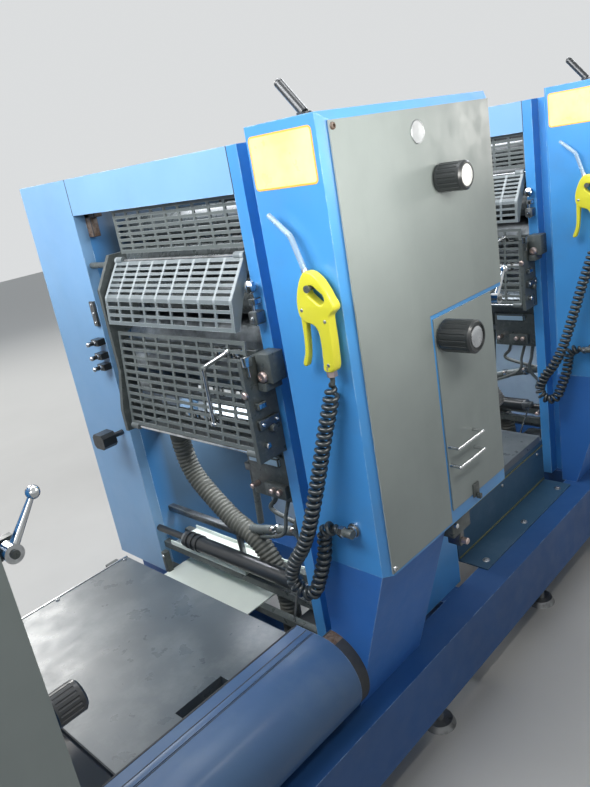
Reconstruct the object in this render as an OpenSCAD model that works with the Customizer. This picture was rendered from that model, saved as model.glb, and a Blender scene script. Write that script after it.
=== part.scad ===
// Offset printing press: three printing units on one base, with a step board between each pair.
// X runs along the machine, -Y is the operator side, +Z is up, and Z = 0 is the floor.
// Inside a unit, x counts back from its front plane, y counts across from the face of the
// operator panel, and z counts up from the floor.

/* [Layout] */
// Distance from one printing unit to the next
unit_pitch = 1250; // [1180:10:1400]
// Height of a unit over the floor
unit_h = 1590; // [1500:10:1700]
// Length of the base past the first and the last unit
base_overhang = 110; // [100:5:200]
// Clear width between the side frames
opening_w = 642; // [600:2:760]

/* [Base] */
// Gap between the floor and the base rails
floor_gap = 100; // [80:5:140]
// Height of a base rail
rail_h = 178; // [150:2:220]
// Width of a rail's flanges
rail_flange_w = 100; // [80:5:110]
// Thickness of a rail's web and flanges
rail_t = 10; // [6:1:16]
// Distance of a rail's web inside the machine's side
rail_inset = 89; // [70:1:110]
// Width of a cross member along the machine
cross_w = 80; // [60:5:120]
// Diameter of a levelling foot's pad
foot_pad_d = 90; // [60:5:120]
// Height of a levelling foot's pad
foot_pad_h = 18; // [12:1:30]
// Diameter of a levelling foot's screw
foot_screw_d = 24; // [16:1:36]

/* [Operator side] */
// Depth of the operator cover along the machine
cover_d = 565; // [540:5:620]
// Width of the operator cover, from its panel to the side frame
cover_w = 200; // [180:5:230]
// Height of the leg cover
leg_h = 402; // [360:2:440]
// Width of the leg cover along the machine
leg_d = 250; // [200:5:300]
// How far the leg cover's foot is drawn in
leg_taper = 128; // [100:2:140]
// Width of the bevels round the cover
bevel = 20; // [12:1:30]
// Depth of the bevels at the panel
bevel_d = 17; // [10:1:24]
// Thickness of the grey panels
panel_t = 3; // [2:0.5:5]
// Height of the door
door_h = 449; // [400:1:480]
// Width of the door
door_w = 239; // [220:1:260]
// Height of the door's lower edge over the cover's lower edge
door_rise = 33; // [20:1:50]
// Width of the painted line round the door
door_line = 10; // [6:1:14]
// Depth of the step behind the door
cover_step = 70; // [50:5:90]
// Depth of the step behind the first unit's door
first_step = 9; // [7:0.5:12]

/* [Side frames] */
// Distance of the frames behind the unit's front plane
frame_setback = 30; // [20:1:45]
// Depth of the side frames along the machine
frame_d = 515; // [480:5:530]
// Thickness of the operator side frame
near_frame_w = 85; // [75:1:100]
// Thickness of the far side frame
far_frame_w = 40; // [30:1:60]
// Width of the groove beside the cover
groove_w = 42; // [30:1:50]
// Depth of the groove
groove_d = 45; // [30:1:60]
// Width of the far cover
far_cover_w = 233; // [200:1:280]
// Height of the open plinth under the far cover
far_plinth_h = 104; // [80:1:140]
// Depth of the far cover's front lip
far_lip_d = 32; // [24:1:45]
// Height of the portal beam
beam_h = 92; // [70:1:120]
// Depth of the portal beam
beam_d = 60; // [50:1:80]
// Drop of the portal's top below the cover's top
portal_drop = 23; // [15:1:40]
// Thickness of the top cover
top_cover_t = 20; // [12:1:30]
// Thickness of the rear cross panel
rear_panel_t = 40; // [25:1:60]
// Height of the rear cross panel over the base
rear_panel_h = 427; // [380:1:470]

/* [Guards] */
// Thickness of a guard's sheet
guard_t = 4; // [3:0.5:6]
// Number of slots across a guard
slot_cols = 9; // [7:1:11]
// Width of the bars between slots, across
slot_bar = 7; // [5:0.5:12]
// Width of the bars between slots, up
slot_rib = 7; // [5:0.5:9]
// Rim round the slots
guard_rim = 9; // [6:0.5:12]
// Gap between a guard and the plates beside it
guard_gap = 8; // [6:1:12]
// Thickness of the plates that carry the guards
carrier_t = 12; // [8:1:16]
// Distance of the far carrier plate from the far side frame
carrier_stay = 130; // [100:5:160]
// Radius of the hinge rods
rod_r = 4; // [3:0.5:6]
// Running clearance of a hinge or shaft, on the radius
run_gap = 0.1; // [0.05:0.01:0.1]
// Outside radius of a hinge knuckle
knuckle_r = 9; // [8:0.5:11]
// Length of a hinge knuckle
knuckle_l = 30; // [20:1:40]
// Height of the ink guard's hinge over the floor
ink_hinge_z = 1352; // [1346:1:1358]
// Height of the ink guard's upper facet
ink_upper_h = 96; // [90:1:104]
// Height of the ink guard's lower facet
ink_lower_h = 67; // [60:1:72]
// Lean of the ink guard's upper facet, in degrees
ink_upper_lean = 35; // [30:1:40]
// Lean of the plates below, in degrees
guard_lean = 6; // [4:0.5:8]
// Height of the plate guard's hinge over the floor
plate_hinge_z = 929; // [920:1:940]
// Height of the plate guard's sheet
plate_guard_h = 247; // [230:1:252]
// Radius of the grab handle's wire
grab_r = 4.5; // [3:0.5:6]
// Stand-off of the grab handle's corner
grab_reach = 45; // [35:1:50]

/* [Rollers] */
// Radius of the three cylinders
cylinder_r = 85; // [75:1:86]
// Gap between a roller's end and the side frame
roller_end_gap = 20; // [12:1:30]
// Radius of the roller journals
journal_r = 12; // [8:1:18]

/* [Controls] */
// Diameter of the upper knob
upper_knob_d = 57; // [45:1:70]
// Length of the upper knob
upper_knob_l = 60; // [50:1:70]
// Diameter of the lower knob
lower_knob_d = 70; // [55:1:80]
// Length of the lower knob
lower_knob_l = 75; // [65:1:90]
// Gap between a knob and its panel
knob_gap = 5; // [5:0.5:8]
// Radius of the knobs' shafts
knob_shaft_r = 8; // [6:0.5:10]
// How far a knob's shaft goes into the cover
knob_shaft_in = 25; // [15:1:40]
// Number of grips round a knob
knob_grips = 18; // [12:1:24]
// Length of the throw lever
lever_l = 78; // [70:1:90]
// Radius of the throw lever's arm at its ball
lever_r = 4; // [3:0.5:5]
// Radius of the throw lever's arm at its hub
lever_root_r = 7; // [5:0.5:8]
// Radius of the throw lever's ball
lever_ball_r = 9.5; // [8:0.5:11]
// Radius of the throw lever's pin
lever_pin_r = 6; // [5:0.5:8]
// Width between the legs of a door pull
pull_w = 104; // [80:1:120]
// Stand-off of a door pull
pull_reach = 26; // [22:1:40]
// Radius of a door pull's wire
pull_r = 4; // [3:0.5:6]
// Distance between the two door pulls
pull_step = 45; // [35:1:60]
// Length of the grip on the cover's top
grip_l = 80; // [60:1:100]
// Radius of the grip on the cover's top
grip_r = 9; // [7:0.5:12]

/* [Air gun] */
// Thickness of the gun's body
gun_t = 26; // [20:1:30]
// Distance of the gun's middle plane in front of the cover
gun_x = 20; // [18:1:26]
// Radius of the peg that the gun hangs on
peg_r = 4; // [3:0.5:5]
// Radius of the gun's nozzle tube
nozzle_r = 4.5; // [3:0.5:6]

/* [Step board] */
// Height of the step board over the floor
board_z = 465; // [440:1:490]
// Thickness of the step board
board_t = 25; // [15:1:40]
// Length of the step board along the machine
board_l = 485; // [440:5:500]
// Gap between the step board and the unit behind it
board_end_gap = 55; // [40:5:70]
// Width of the step board across the machine
board_w = 698; // [640:2:720]
// Gap between the step board and the nosing
board_gap = 4; // [2:0.5:8]
// Outside radius of the rolled nosing
nosing_r = 100; // [80:1:105]
// Thickness of the nosing's sheet
nosing_t = 4; // [3:0.5:6]
// Length of the nosing
nosing_l = 590; // [540:5:620]
// Gap between the nosing and the unit behind it
nosing_gap = 30; // [10:1:40]
// Width of the nosing's flat strip
nosing_strip = 82; // [60:1:95]
// Height of the nosing over the step board
nosing_rise = 11; // [8:1:20]
// How far the second board reaches past the first, towards the operator
riser_reach = 41; // [30:1:60]
// Thickness of the riser's sheet
riser_t = 4; // [3:0.5:6]
// Width of the deck at the riser's foot
deck_w = 96; // [80:1:100]
// Length of the grip slot in the step board
slot_l = 130; // [100:1:160]
// Width of the grip slot
slot_w = 28; // [20:1:36]

/* [Below the guards] */
// Outside radius of the suction hose
suction_r = 28; // [22:1:30]
// Radius of the cross tube
tube_r = 22; // [16:1:22]
// Thickness of the drip trays' sheet
tray_t = 3; // [2:0.5:5]
// Height of a drip tray's rim
tray_rim = 14; // [8:1:20]
// Width of the square bars under the trays
tray_bar = 20; // [12:1:20]
// Height of the drain box beside the suction hose
drain_h = 92; // [70:1:95]

/* [Hidden] */
$fn = 48;
units = 3;
eps = 0.01;

// Heights
z_rail = floor_gap + rail_h;
z_seam = z_rail + leg_h;
z_portal = unit_h - portal_drop;
z_beam = z_portal - beam_h;
z_door = z_seam + door_rise;
z_step = z_door + door_h;

// Places across a unit
y_frame = cover_w;
y_open = y_frame + near_frame_w;
y_far = y_open + opening_w;
y_far_cover = y_far + far_frame_w;
y_side = y_far_cover + far_cover_w;
knob_reach = knob_gap + lower_knob_l;
mid_y = (y_side - knob_reach) / 2;

// Places along a unit
x_frame = frame_setback;
x_frame_end = frame_setback + frame_d;
x_lower = cover_d - cover_step;
x_door = x_lower - 3 - door_w;
machine_l = (units - 1) * unit_pitch + cover_d + 2 * base_overhang;

// Guards, across
y_guard = y_open + guard_gap - 2;
y_carrier = y_far - carrier_stay - carrier_t;
guard_w = y_carrier - guard_gap - y_guard;

// Guard hinges, seen from the side
ink_hinge_x = x_frame + rod_r + 1;
plate_hinge_x = -36;
carrier_x = -52;
rear_guard_in = 12;
near_carrier_y = y_open - carrier_t - 2;
near_carrier_top = plate_hinge_z + 221;
plate_guard_rows = 12;

// Rollers: x, height under the unit's top (ink) or over the floor, and radius
ink_roller_list = [
    [110, 350, 35], [190, 340, 40], [270, 350, 35],
    [150, 260, 35], [230, 260, 38], [310, 270, 32],
    [190, 180, 35], [280, 185, 35], [370, 190, 40]];
damp_roller_list = [[75, 1075, 28], [60, 1010, 25]];
cylinder_list = [[185, 1115], [300, 985], [350, 820]];

// Tie bar under the cylinders
tie_z = 870;
tie_h = 32;

// Controls
upper_knob_x = 325;
upper_knob_z = unit_h - 154;
lower_knob_x = x_door + 32;
lower_knob_z = z_step - 42;
lever_x = cover_d + 13;
lever_y = 35;
lever_z = z_step - 40;
lever_rest = 52;
lever_hub_w = 20;
lever_hub_r = lever_pin_r + 7;
rear_knob_z = 845;
rear_knob_y = 80;
pull_z = 825;
latch_z = [z_step - 102, z_step - 70, z_step - 30];
post_knob_z = 850;

// Air gun: its peg, and its outline round that peg
gun_y = 64;
gun_z = 1299;
gun_outline = [
    [12, 31], [24, 21], [37, 1], [44, -19], [46, -40], [42, -61], [47, -110],
    [59, -153], [50, -158], [35, -145], [24, -110], [16, -71], [0, -71],
    [4, -120], [9, -162], [-33, -152], [-40, -100], [-39, -46], [-55, -38],
    [-55, -27], [-41, 3], [-25, 16], [-3, 27]];
gun_tail = [-12, -152];
gun_tail_end = [-9, -188];
gun_slot_r = 9;
gun_seat = 0.3;

// Coiled air hose: radius of the whole coil, and the route of its middle
coil_r = 17;
coil_sides = 12;
coil_rings = 26;
coil_route = [
    [-20, 56, 1114], [-21, 61, 1090], [-24, 72, 1055], [-30, 90, 1000], [-38, 112, 925],
    [-48, 134, 850], [-56, 156, 785], [-58, 186, 730], [-57, 218, 688], [-54, 238, 645],
    [-49, 231, 615], [-44, 209, 603], [-38, 187, 614], [-34, 176, 640], [-28, 164, 675],
    [-23, 154, 710], [-20, 150, 745], [-20, 142, 769], [-20, 122, 780], [-20, 100, 780]];

// Step board and nosing
y_board = y_open + 6;
y_nosing = y_board - board_gap - nosing_strip;
z_nosing = board_z + nosing_rise - nosing_r;
nosing_end_angle = 56;
post_w = 40;
y_riser = y_board - riser_reach + 4;
bearer_t = 30;

// Suction hose: route in one plane across the machine
suction_x = 98;
suction_route = [[779, 870], [779, 804], [749, 720], [631, 622], [517, 560], [455, 434], [455, z_rail]];

// Trays and the cross tube
tube_x = x_frame + 15;
tube_z = 530;
low_tray_z = 400;
low_tray_x0 = x_frame - 55;
low_tray_x1 = x_frame + 200;
low_tray_in = 0.35 * opening_w;
high_tray_z = 480;
high_tray_x0 = x_frame + 18;
high_tray_x1 = x_frame + 120;
high_tray_in = 0.413 * opening_w;
tray_far_in = 40;
drain_x = [x_frame + 15, x_frame + 170];
drain_y = [y_open + 15, suction_route[5][0] - suction_r - 12];

blue = "dodgerblue";
deep_blue = "steelblue";
grey = "darkgray";
dark = "dimgray";
black = "black";
chrome = "silver";

// Where a unit stands: 0 is the first, at the front of the machine
function unit_x(i) = (i - (units - 1) / 2) * unit_pitch - cover_d / 2;
module at_unit(i) translate([unit_x(i), -mid_y, 0]) children();
module at_units() {
    for (i = [0 : units - 1]) at_unit(i) children();
}
module at_gaps() {
    for (i = [1 : units - 1]) at_unit(i) children();
}

// The first unit's lower cover is nearly as deep as its upper one; the others step back
function x_step(i) = i == 0 ? cover_d - first_step : x_lower;

// Turns a drawing in x and y into one that stands across the machine, thickness along +X
module across(x) translate([x, 0, 0]) rotate([90, 0, 90]) children();
// Turns a drawing in x and y into one that stands along the machine, thickness along +Y
module along(y, t) translate([0, y + t, 0]) rotate([90, 0, 0]) linear_extrude(t) children();
module box(a, b) translate(a) cube([b.x - a.x, b.y - a.y, b.z - a.z]);

module rod(a, b, r) {
    d = b - a;
    l = norm(d);
    translate(a) rotate([0, acos(d.z / l), atan2(d.y, d.x)]) cylinder(r = r, h = l);
}

// Ball that closes the outside of a bend between two rods
module elbow(p, r) translate(p) sphere(r = r + 0.3);

module rod_along_y(x, z, y0, y1, r) {
    translate([x, y1, z]) rotate([90, 0, 0]) cylinder(r = r, h = y1 - y0);
}

module rod_along_x(x0, x1, y, z, r) {
    translate([x0, y, z]) rotate([0, 90, 0]) cylinder(r = r, h = x1 - x0);
}

// Rows of slots, drawn flat: w across, h up
module slot_pattern(w, h, cols, rows) {
    cell_w = (w - 2 * guard_rim + slot_bar) / cols;
    cell_h = (h - 2 * guard_rim + slot_rib) / rows;
    for (c = [0 : cols - 1], r = [0 : rows - 1])
        translate([guard_rim + c * cell_w, guard_rim + r * cell_h])
            square([cell_w - slot_bar, cell_h - slot_rib]);
}

// An upright sheet with rows of slots, drawn flat
module slotted(w, h, cols, rows) {
    difference() {
        square([w, h]);
        slot_pattern(w, h, cols, rows);
    }
}

// Side view of a guard's sheet: the way up along a facet that leans back, and the way through it
function up(lean) = [sin(lean), cos(lean)];
function back(lean) = [cos(lean), -sin(lean)];

// Slots through a facet of a guard, from the facet's lower edge p
module facet_slots(p, lean, h, rows) {
    translate([p.x, y_guard, p.y]) rotate([0, lean, 0]) rotate([90, 0, 90]) translate([0, 0, -1])
        linear_extrude(guard_t + 2) slot_pattern(guard_w, h, slot_cols, rows);
}

module knob(d, l) {
    difference() {
        rotate_extrude() polygon([
            [0, 0], [d / 2 - 2, 0], [d / 2, 2], [d / 2, l - 4], [d / 2 - 4, l],
            [d / 2 - 7, l], [d / 2 - 7, l - 2], [0, l - 2]]);
        for (k = [0 : knob_grips - 1])
            rotate([0, 0, k * 360 / knob_grips]) translate([d / 2 + 1, 0, 6])
                cylinder(r = 2.5, h = l - 16, $fn = 16);
    }
}

// Base

module rail_profile() {
    difference() {
        square([rail_flange_w, rail_h]);
        translate([rail_t, rail_t]) square([rail_flange_w, rail_h - 2 * rail_t]);
    }
}

module operator_base_rail() {
    color(deep_blue) translate([-machine_l / 2, rail_inset - mid_y, floor_gap])
        rotate([90, 0, 90]) linear_extrude(machine_l) rail_profile();
}

module far_base_rail() {
    color(deep_blue) translate([-machine_l / 2, y_side - rail_inset - mid_y, floor_gap])
        rotate([90, 0, 90]) linear_extrude(machine_l) mirror([1, 0]) rail_profile();
}

module cross_member() {
    y0 = rail_inset + rail_t;
    y1 = y_side - rail_inset - rail_t;
    lip = rail_flange_w - rail_t;
    z0 = floor_gap + rail_t;
    z1 = z_rail - rail_t;
    rotate([90, 0, 90]) linear_extrude(cross_w) polygon([
        [y0, z0], [y1, z0], [y1, z1], [y1 - lip, z1], [y1 - lip, z_rail],
        [y0 + lip, z_rail], [y0 + lip, z1], [y0, z1]]);
}

module base_cross_members() {
    color(deep_blue) at_units() {
        translate([x_frame + 30, 0, 0]) cross_member();
        translate([x_frame_end - 30 - cross_w, 0, 0]) cross_member();
    }
}

module foot() {
    cylinder(r1 = foot_pad_d / 2, r2 = foot_pad_d / 2 - 8, h = foot_pad_h);
    translate([0, 0, foot_pad_h - eps]) cylinder(d = foot_screw_d, h = floor_gap - foot_pad_h + eps);
    translate([0, 0, floor_gap - 22]) cylinder(d = foot_screw_d * 1.7, h = 12, $fn = 6);
}

module levelling_feet() {
    foot_end = machine_l / 2 - 60;
    xs = concat([-foot_end, foot_end], [for (k = [-2 : 2]) k * unit_pitch / 2]);
    color(dark) for (x = xs, y = [rail_inset + rail_flange_w / 2, y_side - rail_inset - rail_flange_w / 2])
        translate([x, y - mid_y, 0]) foot();
}

// Step boards between the units

module step_board(reach) {
    grip_x = -board_end_gap - 0.52 * board_l;
    difference() {
        box([-board_end_gap - board_l, y_board - reach, board_z - board_t],
            [-board_end_gap, y_board + board_w, board_z]);
        box([grip_x - slot_l / 2, y_board + 8, board_z - board_t - 1],
            [grip_x + slot_l / 2, y_board + 8 + slot_w, board_z + 1]);
    }
}

module step_boards() {
    color("slategray") for (i = [1 : units - 1]) at_unit(i) step_board(i == 1 ? 0 : riser_reach);
}

module step_nosing() {
    across(-nosing_gap - nosing_l) linear_extrude(nosing_l) translate([y_nosing, z_nosing]) {
        difference() {
            circle(r = nosing_r, $fn = 96);
            circle(r = nosing_r - nosing_t, $fn = 96);
            translate([0, -nosing_r - 1]) square([nosing_r + 1, 2 * nosing_r + 2]);
            polygon([
                [0, 0], [-2 * nosing_r * cos(nosing_end_angle), -2 * nosing_r * sin(nosing_end_angle)],
                [0, -2 * nosing_r]]);
        }
        translate([0, nosing_r - nosing_t]) square([nosing_strip, nosing_t]);
        translate([nosing_strip - nosing_t, nosing_r - nosing_rise])
            square([nosing_t, nosing_rise]);
    }
}

module step_nosings() {
    color(blue) at_unit(1) step_nosing();
}

// Sheet that closes the second bay under its board, with a deck at its foot and a flange at its head
module step_risers() {
    top = board_z - board_t;
    color(deep_blue) at_unit(2) across(-nosing_gap - nosing_l) linear_extrude(nosing_l) polygon([
        [y_riser - deck_w, z_rail], [y_riser + riser_t, z_rail], [y_riser + riser_t, top - riser_t],
        [y_riser + 30, top - riser_t], [y_riser + 30, top], [y_riser, top],
        [y_riser, z_rail + riser_t], [y_riser - deck_w, z_rail + riser_t]]);
}

// One bearer: two posts on the base rails, a beam under the board and a stub under the nosing
module step_bearer() {
    y0 = rail_inset + rail_flange_w - post_w + 4;
    y1 = y_side - rail_inset - rail_flange_w + post_w;
    z1 = board_z - board_t;
    z0 = z1 - bearer_t;
    stub = y_nosing + 12;
    rotate([90, 0, 90]) linear_extrude(post_w) polygon([
        [y0, z_rail], [y0 + post_w, z_rail], [y0 + post_w, z0], [y1 - post_w, z0], [y1 - post_w, z_rail],
        [y1, z_rail], [y1, z1], [stub + 26, z1], [stub + 26, z_nosing + nosing_r - nosing_t],
        [stub, z_nosing + nosing_r - nosing_t], [stub, z1], [y0, z1]]);
}

// A bearer between the riser and a post on the far base rail
module riser_bearer() {
    y1 = y_side - rail_inset - rail_flange_w + post_w;
    z1 = board_z - board_t;
    z0 = z1 - bearer_t;
    rotate([90, 0, 90]) linear_extrude(post_w) polygon([
        [y_riser + riser_t, z0], [y1 - post_w, z0], [y1 - post_w, z_rail], [y1, z_rail], [y1, z1],
        [y_riser + 30, z1], [y_riser + 30, z1 - riser_t], [y_riser + riser_t, z1 - riser_t]]);
}

module step_supports() {
    color(dark) for (x = [-board_end_gap - board_l + 20, -board_end_gap - 5 - post_w]) {
        at_unit(1) translate([x, 0, 0]) step_bearer();
        at_unit(2) translate([x, 0, 0]) riser_bearer();
    }
}

// Side frames and housings

module operator_side_frame() {
    difference() {
        box([x_frame, y_frame, z_rail], [x_frame_end, y_open, z_portal]);
        box([x_frame - 1, y_frame + 11, z_rail - 1],
            [x_frame + groove_d, y_frame + 11 + groove_w, z_portal + 1]);
    }
}

module operator_side_frames() {
    color(blue) at_units() operator_side_frame();
}

module far_side_frames() {
    color(blue) at_units()
        box([x_frame + far_lip_d, y_far, z_rail], [x_frame_end, y_far_cover, z_portal]);
}

module knob_bore(x, z) {
    rod_along_y(x, z, -1, knob_shaft_in + 2, knob_shaft_r + run_gap);
}

module operator_cover(i) {
    difference() {
        translate([0, 0, z_seam]) linear_extrude(unit_h - z_seam) polygon([
            [0, panel_t + bevel_d], [bevel, panel_t], [cover_d - bevel, panel_t],
            [cover_d, panel_t + bevel_d], [cover_d, cover_w], [8, cover_w], [0, cover_w - 8]]);
        box([x_step(i), -1, z_seam - 1], [cover_d + 1, cover_w + 1, z_step]);
        across(-1) linear_extrude(cover_d + 2) polygon([
            [0, unit_h - bevel_d], [panel_t, unit_h - bevel_d],
            [panel_t + bevel_d, unit_h], [panel_t + bevel_d, unit_h + 1], [0, unit_h + 1]]);
        knob_bore(upper_knob_x, upper_knob_z);
        knob_bore(lower_knob_x, lower_knob_z);
    }
}

module operator_covers() {
    color(blue) for (i = [0 : units - 1]) at_unit(i) operator_cover(i);
}

module operator_leg_covers() {
    color(deep_blue) at_units() across(0) linear_extrude(leg_d) polygon([
        [panel_t + bevel_d, z_seam], [cover_w, z_seam], [cover_w, z_rail],
        [panel_t + bevel_d + leg_taper, z_rail]]);
}

module grey_panel() {
    x1 = cover_d - bevel;
    x_cut = x_door - door_line;
    z0 = z_seam + 8;
    z_cut = z_step + door_line;
    difference() {
        along(0, panel_t) polygon([
            [bevel - 8, z0], [x_cut, z0], [x_cut, z_cut], [x1, z_cut],
            [x1, unit_h - bevel_d], [bevel - 8, unit_h - bevel_d]]);
        knob_bore(upper_knob_x, upper_knob_z);
    }
}

module grey_panels() {
    color(grey) at_units() grey_panel();
}

module door_panels() {
    color(grey) for (i = [0 : units - 1]) at_unit(i) difference() {
        box([x_door, 0, z_door], [x_step(i) - 3, panel_t, z_step]);
        knob_bore(lower_knob_x, lower_knob_z);
    }
}

module far_covers() {
    color(blue) at_units() translate([0, 0, z_rail + far_plinth_h])
        linear_extrude(z_portal - z_rail - far_plinth_h) polygon([
            [x_frame, y_far], [x_frame + far_lip_d, y_far], [x_frame + far_lip_d, y_far_cover],
            [x_frame_end + 10, y_far_cover], [x_frame_end + 10, y_side - bevel],
            [x_frame_end + 10 - bevel, y_side], [x_frame + bevel, y_side], [x_frame, y_side - bevel]]);
}

module far_leg_covers() {
    color(deep_blue) at_units()
        box([x_frame + far_lip_d, y_far_cover, z_rail], [x_frame_end, y_side - 80, z_rail + far_plinth_h]);
}

module portal_beams() {
    color(blue) at_units() box([x_frame, y_open, z_beam], [x_frame + beam_d, y_far, z_portal]);
}

module top_covers() {
    lip = 20;
    color(blue) at_units() along(y_open, opening_w) polygon([
        [x_frame + beam_d, z_portal - top_cover_t], [x_frame_end - lip, z_portal - top_cover_t],
        [x_frame_end - lip, z_beam], [x_frame_end, z_beam],
        [x_frame_end, z_portal], [x_frame + beam_d, z_portal]]);
}

module rear_cross_panels() {
    color(blue) at_units()
        box([x_frame_end - rear_panel_t, y_open, z_rail], [x_frame_end, y_far, z_rail + rear_panel_h]);
}

module rear_guards() {
    z0 = z_rail + rear_panel_h;
    color(dark) at_units() {
        across(x_frame_end - rear_guard_in) linear_extrude(guard_t)
            translate([y_open + 5, z0]) slotted(opening_w - 10, z_beam - z0, 7, 12);
        box([x_frame_end - rear_guard_in - guard_t, y_open + 5, z0],
            [x_frame_end - rear_guard_in + 0.5, y_far - 5, z_beam]);
    }
}

// Guards

module upper_grilles() {
    h = 109;
    color(dark) at_units() across(x_frame + 22) linear_extrude(guard_t)
        translate([y_guard, z_beam - h]) slotted(guard_w, h, slot_cols, 7);
}

module guard_carriers() {
    z0 = plate_hinge_z - 14;
    z1 = ink_hinge_z + 18;
    color(black) at_units() {
        box([carrier_x, near_carrier_y, z0], [x_frame, near_carrier_y + carrier_t, near_carrier_top]);
        along(y_carrier, carrier_t) polygon([
            [carrier_x, z0], [x_frame + 40, z0], [x_frame + 40, z0 + 56], [x_frame - 12, z0 + 56],
            [x_frame - 12, z1 - 200], [x_frame + 40, z1 - 180], [x_frame + 40, z1], [x_frame - 10, z1],
            [carrier_x + 22, z1 - 80], [carrier_x + 22, z0 + 160], [carrier_x, z0 + 60]]);
        for (z = [z0 + 45, z1 - 30])
            rod_along_y(x_frame + 18, z, y_carrier + carrier_t - 1, y_far, 8);
    }
}

module guard_hinge_rods() {
    color(chrome) at_units() {
        rod_along_y(ink_hinge_x, ink_hinge_z, y_open, y_carrier, rod_r);
        rod_along_y(plate_hinge_x, plate_hinge_z, near_carrier_y + carrier_t, y_carrier, rod_r);
    }
}

module knuckles(x, z) {
    for (y = [y_guard, y_guard + guard_w - knuckle_l])
        rod_along_y(x, z, y, y + knuckle_l, knuckle_r);
}

module knuckle_bore(x, z) rod_along_y(x, z, y_guard - 1, y_guard + guard_w + 1, rod_r + run_gap);

// One bent sheet in two facets, with a cheek at each end and two knuckles
module ink_guard() {
    top = [ink_hinge_x - 6, ink_hinge_z - 2];
    ridge = top - ink_upper_h * up(ink_upper_lean);
    foot = ridge - ink_lower_h * up(guard_lean);
    inner_ridge = ridge + guard_t * (back(ink_upper_lean) + back(guard_lean))
        / (1 + back(ink_upper_lean) * back(guard_lean));
    difference() {
        union() {
            along(y_guard, guard_w) polygon([
                top, ridge, foot, foot + guard_t * back(guard_lean), inner_ridge,
                top + guard_t * back(ink_upper_lean)]);
            for (y = [y_guard, y_guard + guard_w - guard_t])
                along(y, guard_t) polygon([
                    top, ridge, foot, foot + [14, 0], ridge + [30, -10], top + [12, -14]]);
            knuckles(ink_hinge_x, ink_hinge_z);
        }
        knuckle_bore(ink_hinge_x, ink_hinge_z);
        facet_slots(ridge, ink_upper_lean, ink_upper_h, 6);
        facet_slots(foot, guard_lean, ink_lower_h, 3);
    }
}

module plate_guard() {
    foot = [plate_hinge_x - 4, plate_hinge_z + 6];
    head = foot + plate_guard_h * up(guard_lean);
    difference() {
        union() {
            along(y_guard, guard_w) polygon([
                foot, foot + guard_t * back(guard_lean), head + guard_t * back(guard_lean), head]);
            knuckles(plate_hinge_x, plate_hinge_z);
        }
        knuckle_bore(plate_hinge_x, plate_hinge_z);
        facet_slots(foot, guard_lean, plate_guard_h, plate_guard_rows);
    }
    // Bent wire handle: its legs stand in the sheet, its corner stands off
    translate([foot.x, y_guard, foot.y]) rotate([0, guard_lean, 0]) {
        cell_w = (guard_w - 2 * guard_rim + slot_bar) / slot_cols;
        cell_h = (plate_guard_h - 2 * guard_rim + slot_rib) / plate_guard_rows;
        leg_a = [guard_t / 2, guard_rim + cell_w - slot_bar / 2, guard_rim + 11 * cell_h - slot_rib / 2];
        corner = [-grab_reach, 0.19 * guard_w, 0.777 * plate_guard_h];
        leg_b = [guard_t / 2, 0.286 * guard_w, guard_rim + 2 * cell_h - slot_rib / 2];
        rod(leg_a, corner, grab_r);
        elbow(corner, grab_r);
        rod(leg_b, corner, grab_r);
    }
}

module tie_bars() {
    color(black) at_units() box([x_frame + 40, y_open, tie_z], [x_frame + 110, y_far, tie_z + tie_h]);
}

// Rollers

module roller(x, z, r) {
    rod_along_y(x, z, y_open + roller_end_gap, y_far - roller_end_gap, r);
    rod_along_y(x, z, y_open, y_far, journal_r);
}

module cylinders() {
    color(chrome) at_units() for (c = cylinder_list) roller(c[0], c[1], cylinder_r);
}

module ink_rollers() {
    color(black) at_units() for (c = ink_roller_list) roller(c[0], unit_h - c[1], c[2]);
}

module damp_rollers() {
    color(chrome) at_units() for (c = damp_roller_list) roller(c[0], c[1], c[2]);
}

// Hose, tube and trays below the guards

module suction_hoses() {
    last = len(suction_route) - 1;
    color(black) at_units() {
        for (k = [0 : last - 1]) {
            a = suction_route[k];
            b = suction_route[k + 1];
            rod([suction_x, a[0], a[1]], [suction_x, b[0], b[1]], suction_r);
        }
        for (k = [1 : last - 1])
            elbow([suction_x, suction_route[k][0], suction_route[k][1]], suction_r);
    }
}

module cross_tubes() {
    color(black) at_units() {
        rod_along_y(tube_x, tube_z, y_open + 60, y_far - 140, tube_r);
        rod_along_y(tube_x, tube_z, y_open, y_far, 10);
        for (k = [0 : 2])
            rod_along_y(tube_x, tube_z, y_far - 160 - k * 22, y_far - 152 - k * 22, tube_r + 3);
    }
}

module tray_bars() {
    color(dark) at_units() {
        for (x = [x_frame + 10, low_tray_x1 - 2 * tray_bar])
            box([x, y_open, low_tray_z - tray_bar], [x + tray_bar, y_far, low_tray_z]);
        for (x = [high_tray_x0, high_tray_x1 - tray_bar])
            box([x, y_open, high_tray_z - tray_bar], [x + tray_bar, y_far, high_tray_z]);
    }
}

// A sheet with its front and rear edges turned up
module tray(x0, x1, y0, y1, z) {
    along(y0, y1 - y0) difference() {
        translate([x0, z]) square([x1 - x0, tray_rim]);
        translate([x0 + tray_t, z + tray_t]) square([x1 - x0 - 2 * tray_t, tray_rim]);
    }
}

module drip_trays() {
    color("ivory") at_units() {
        tray(low_tray_x0, low_tray_x1, y_open + low_tray_in, y_far - tray_far_in, low_tray_z);
        tray(high_tray_x0, high_tray_x1, y_open + high_tray_in, y_far - tray_far_in, high_tray_z);
    }
}

// A rectangle with its corners cut off
module cut_corners(x0, y0, x1, y1, c) {
    polygon([
        [x0 + c, y0], [x1 - c, y0], [x1, y0 + c], [x1, y1 - c],
        [x1 - c, y1], [x0 + c, y1], [x0, y1 - c], [x0, y0 + c]]);
}

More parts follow.
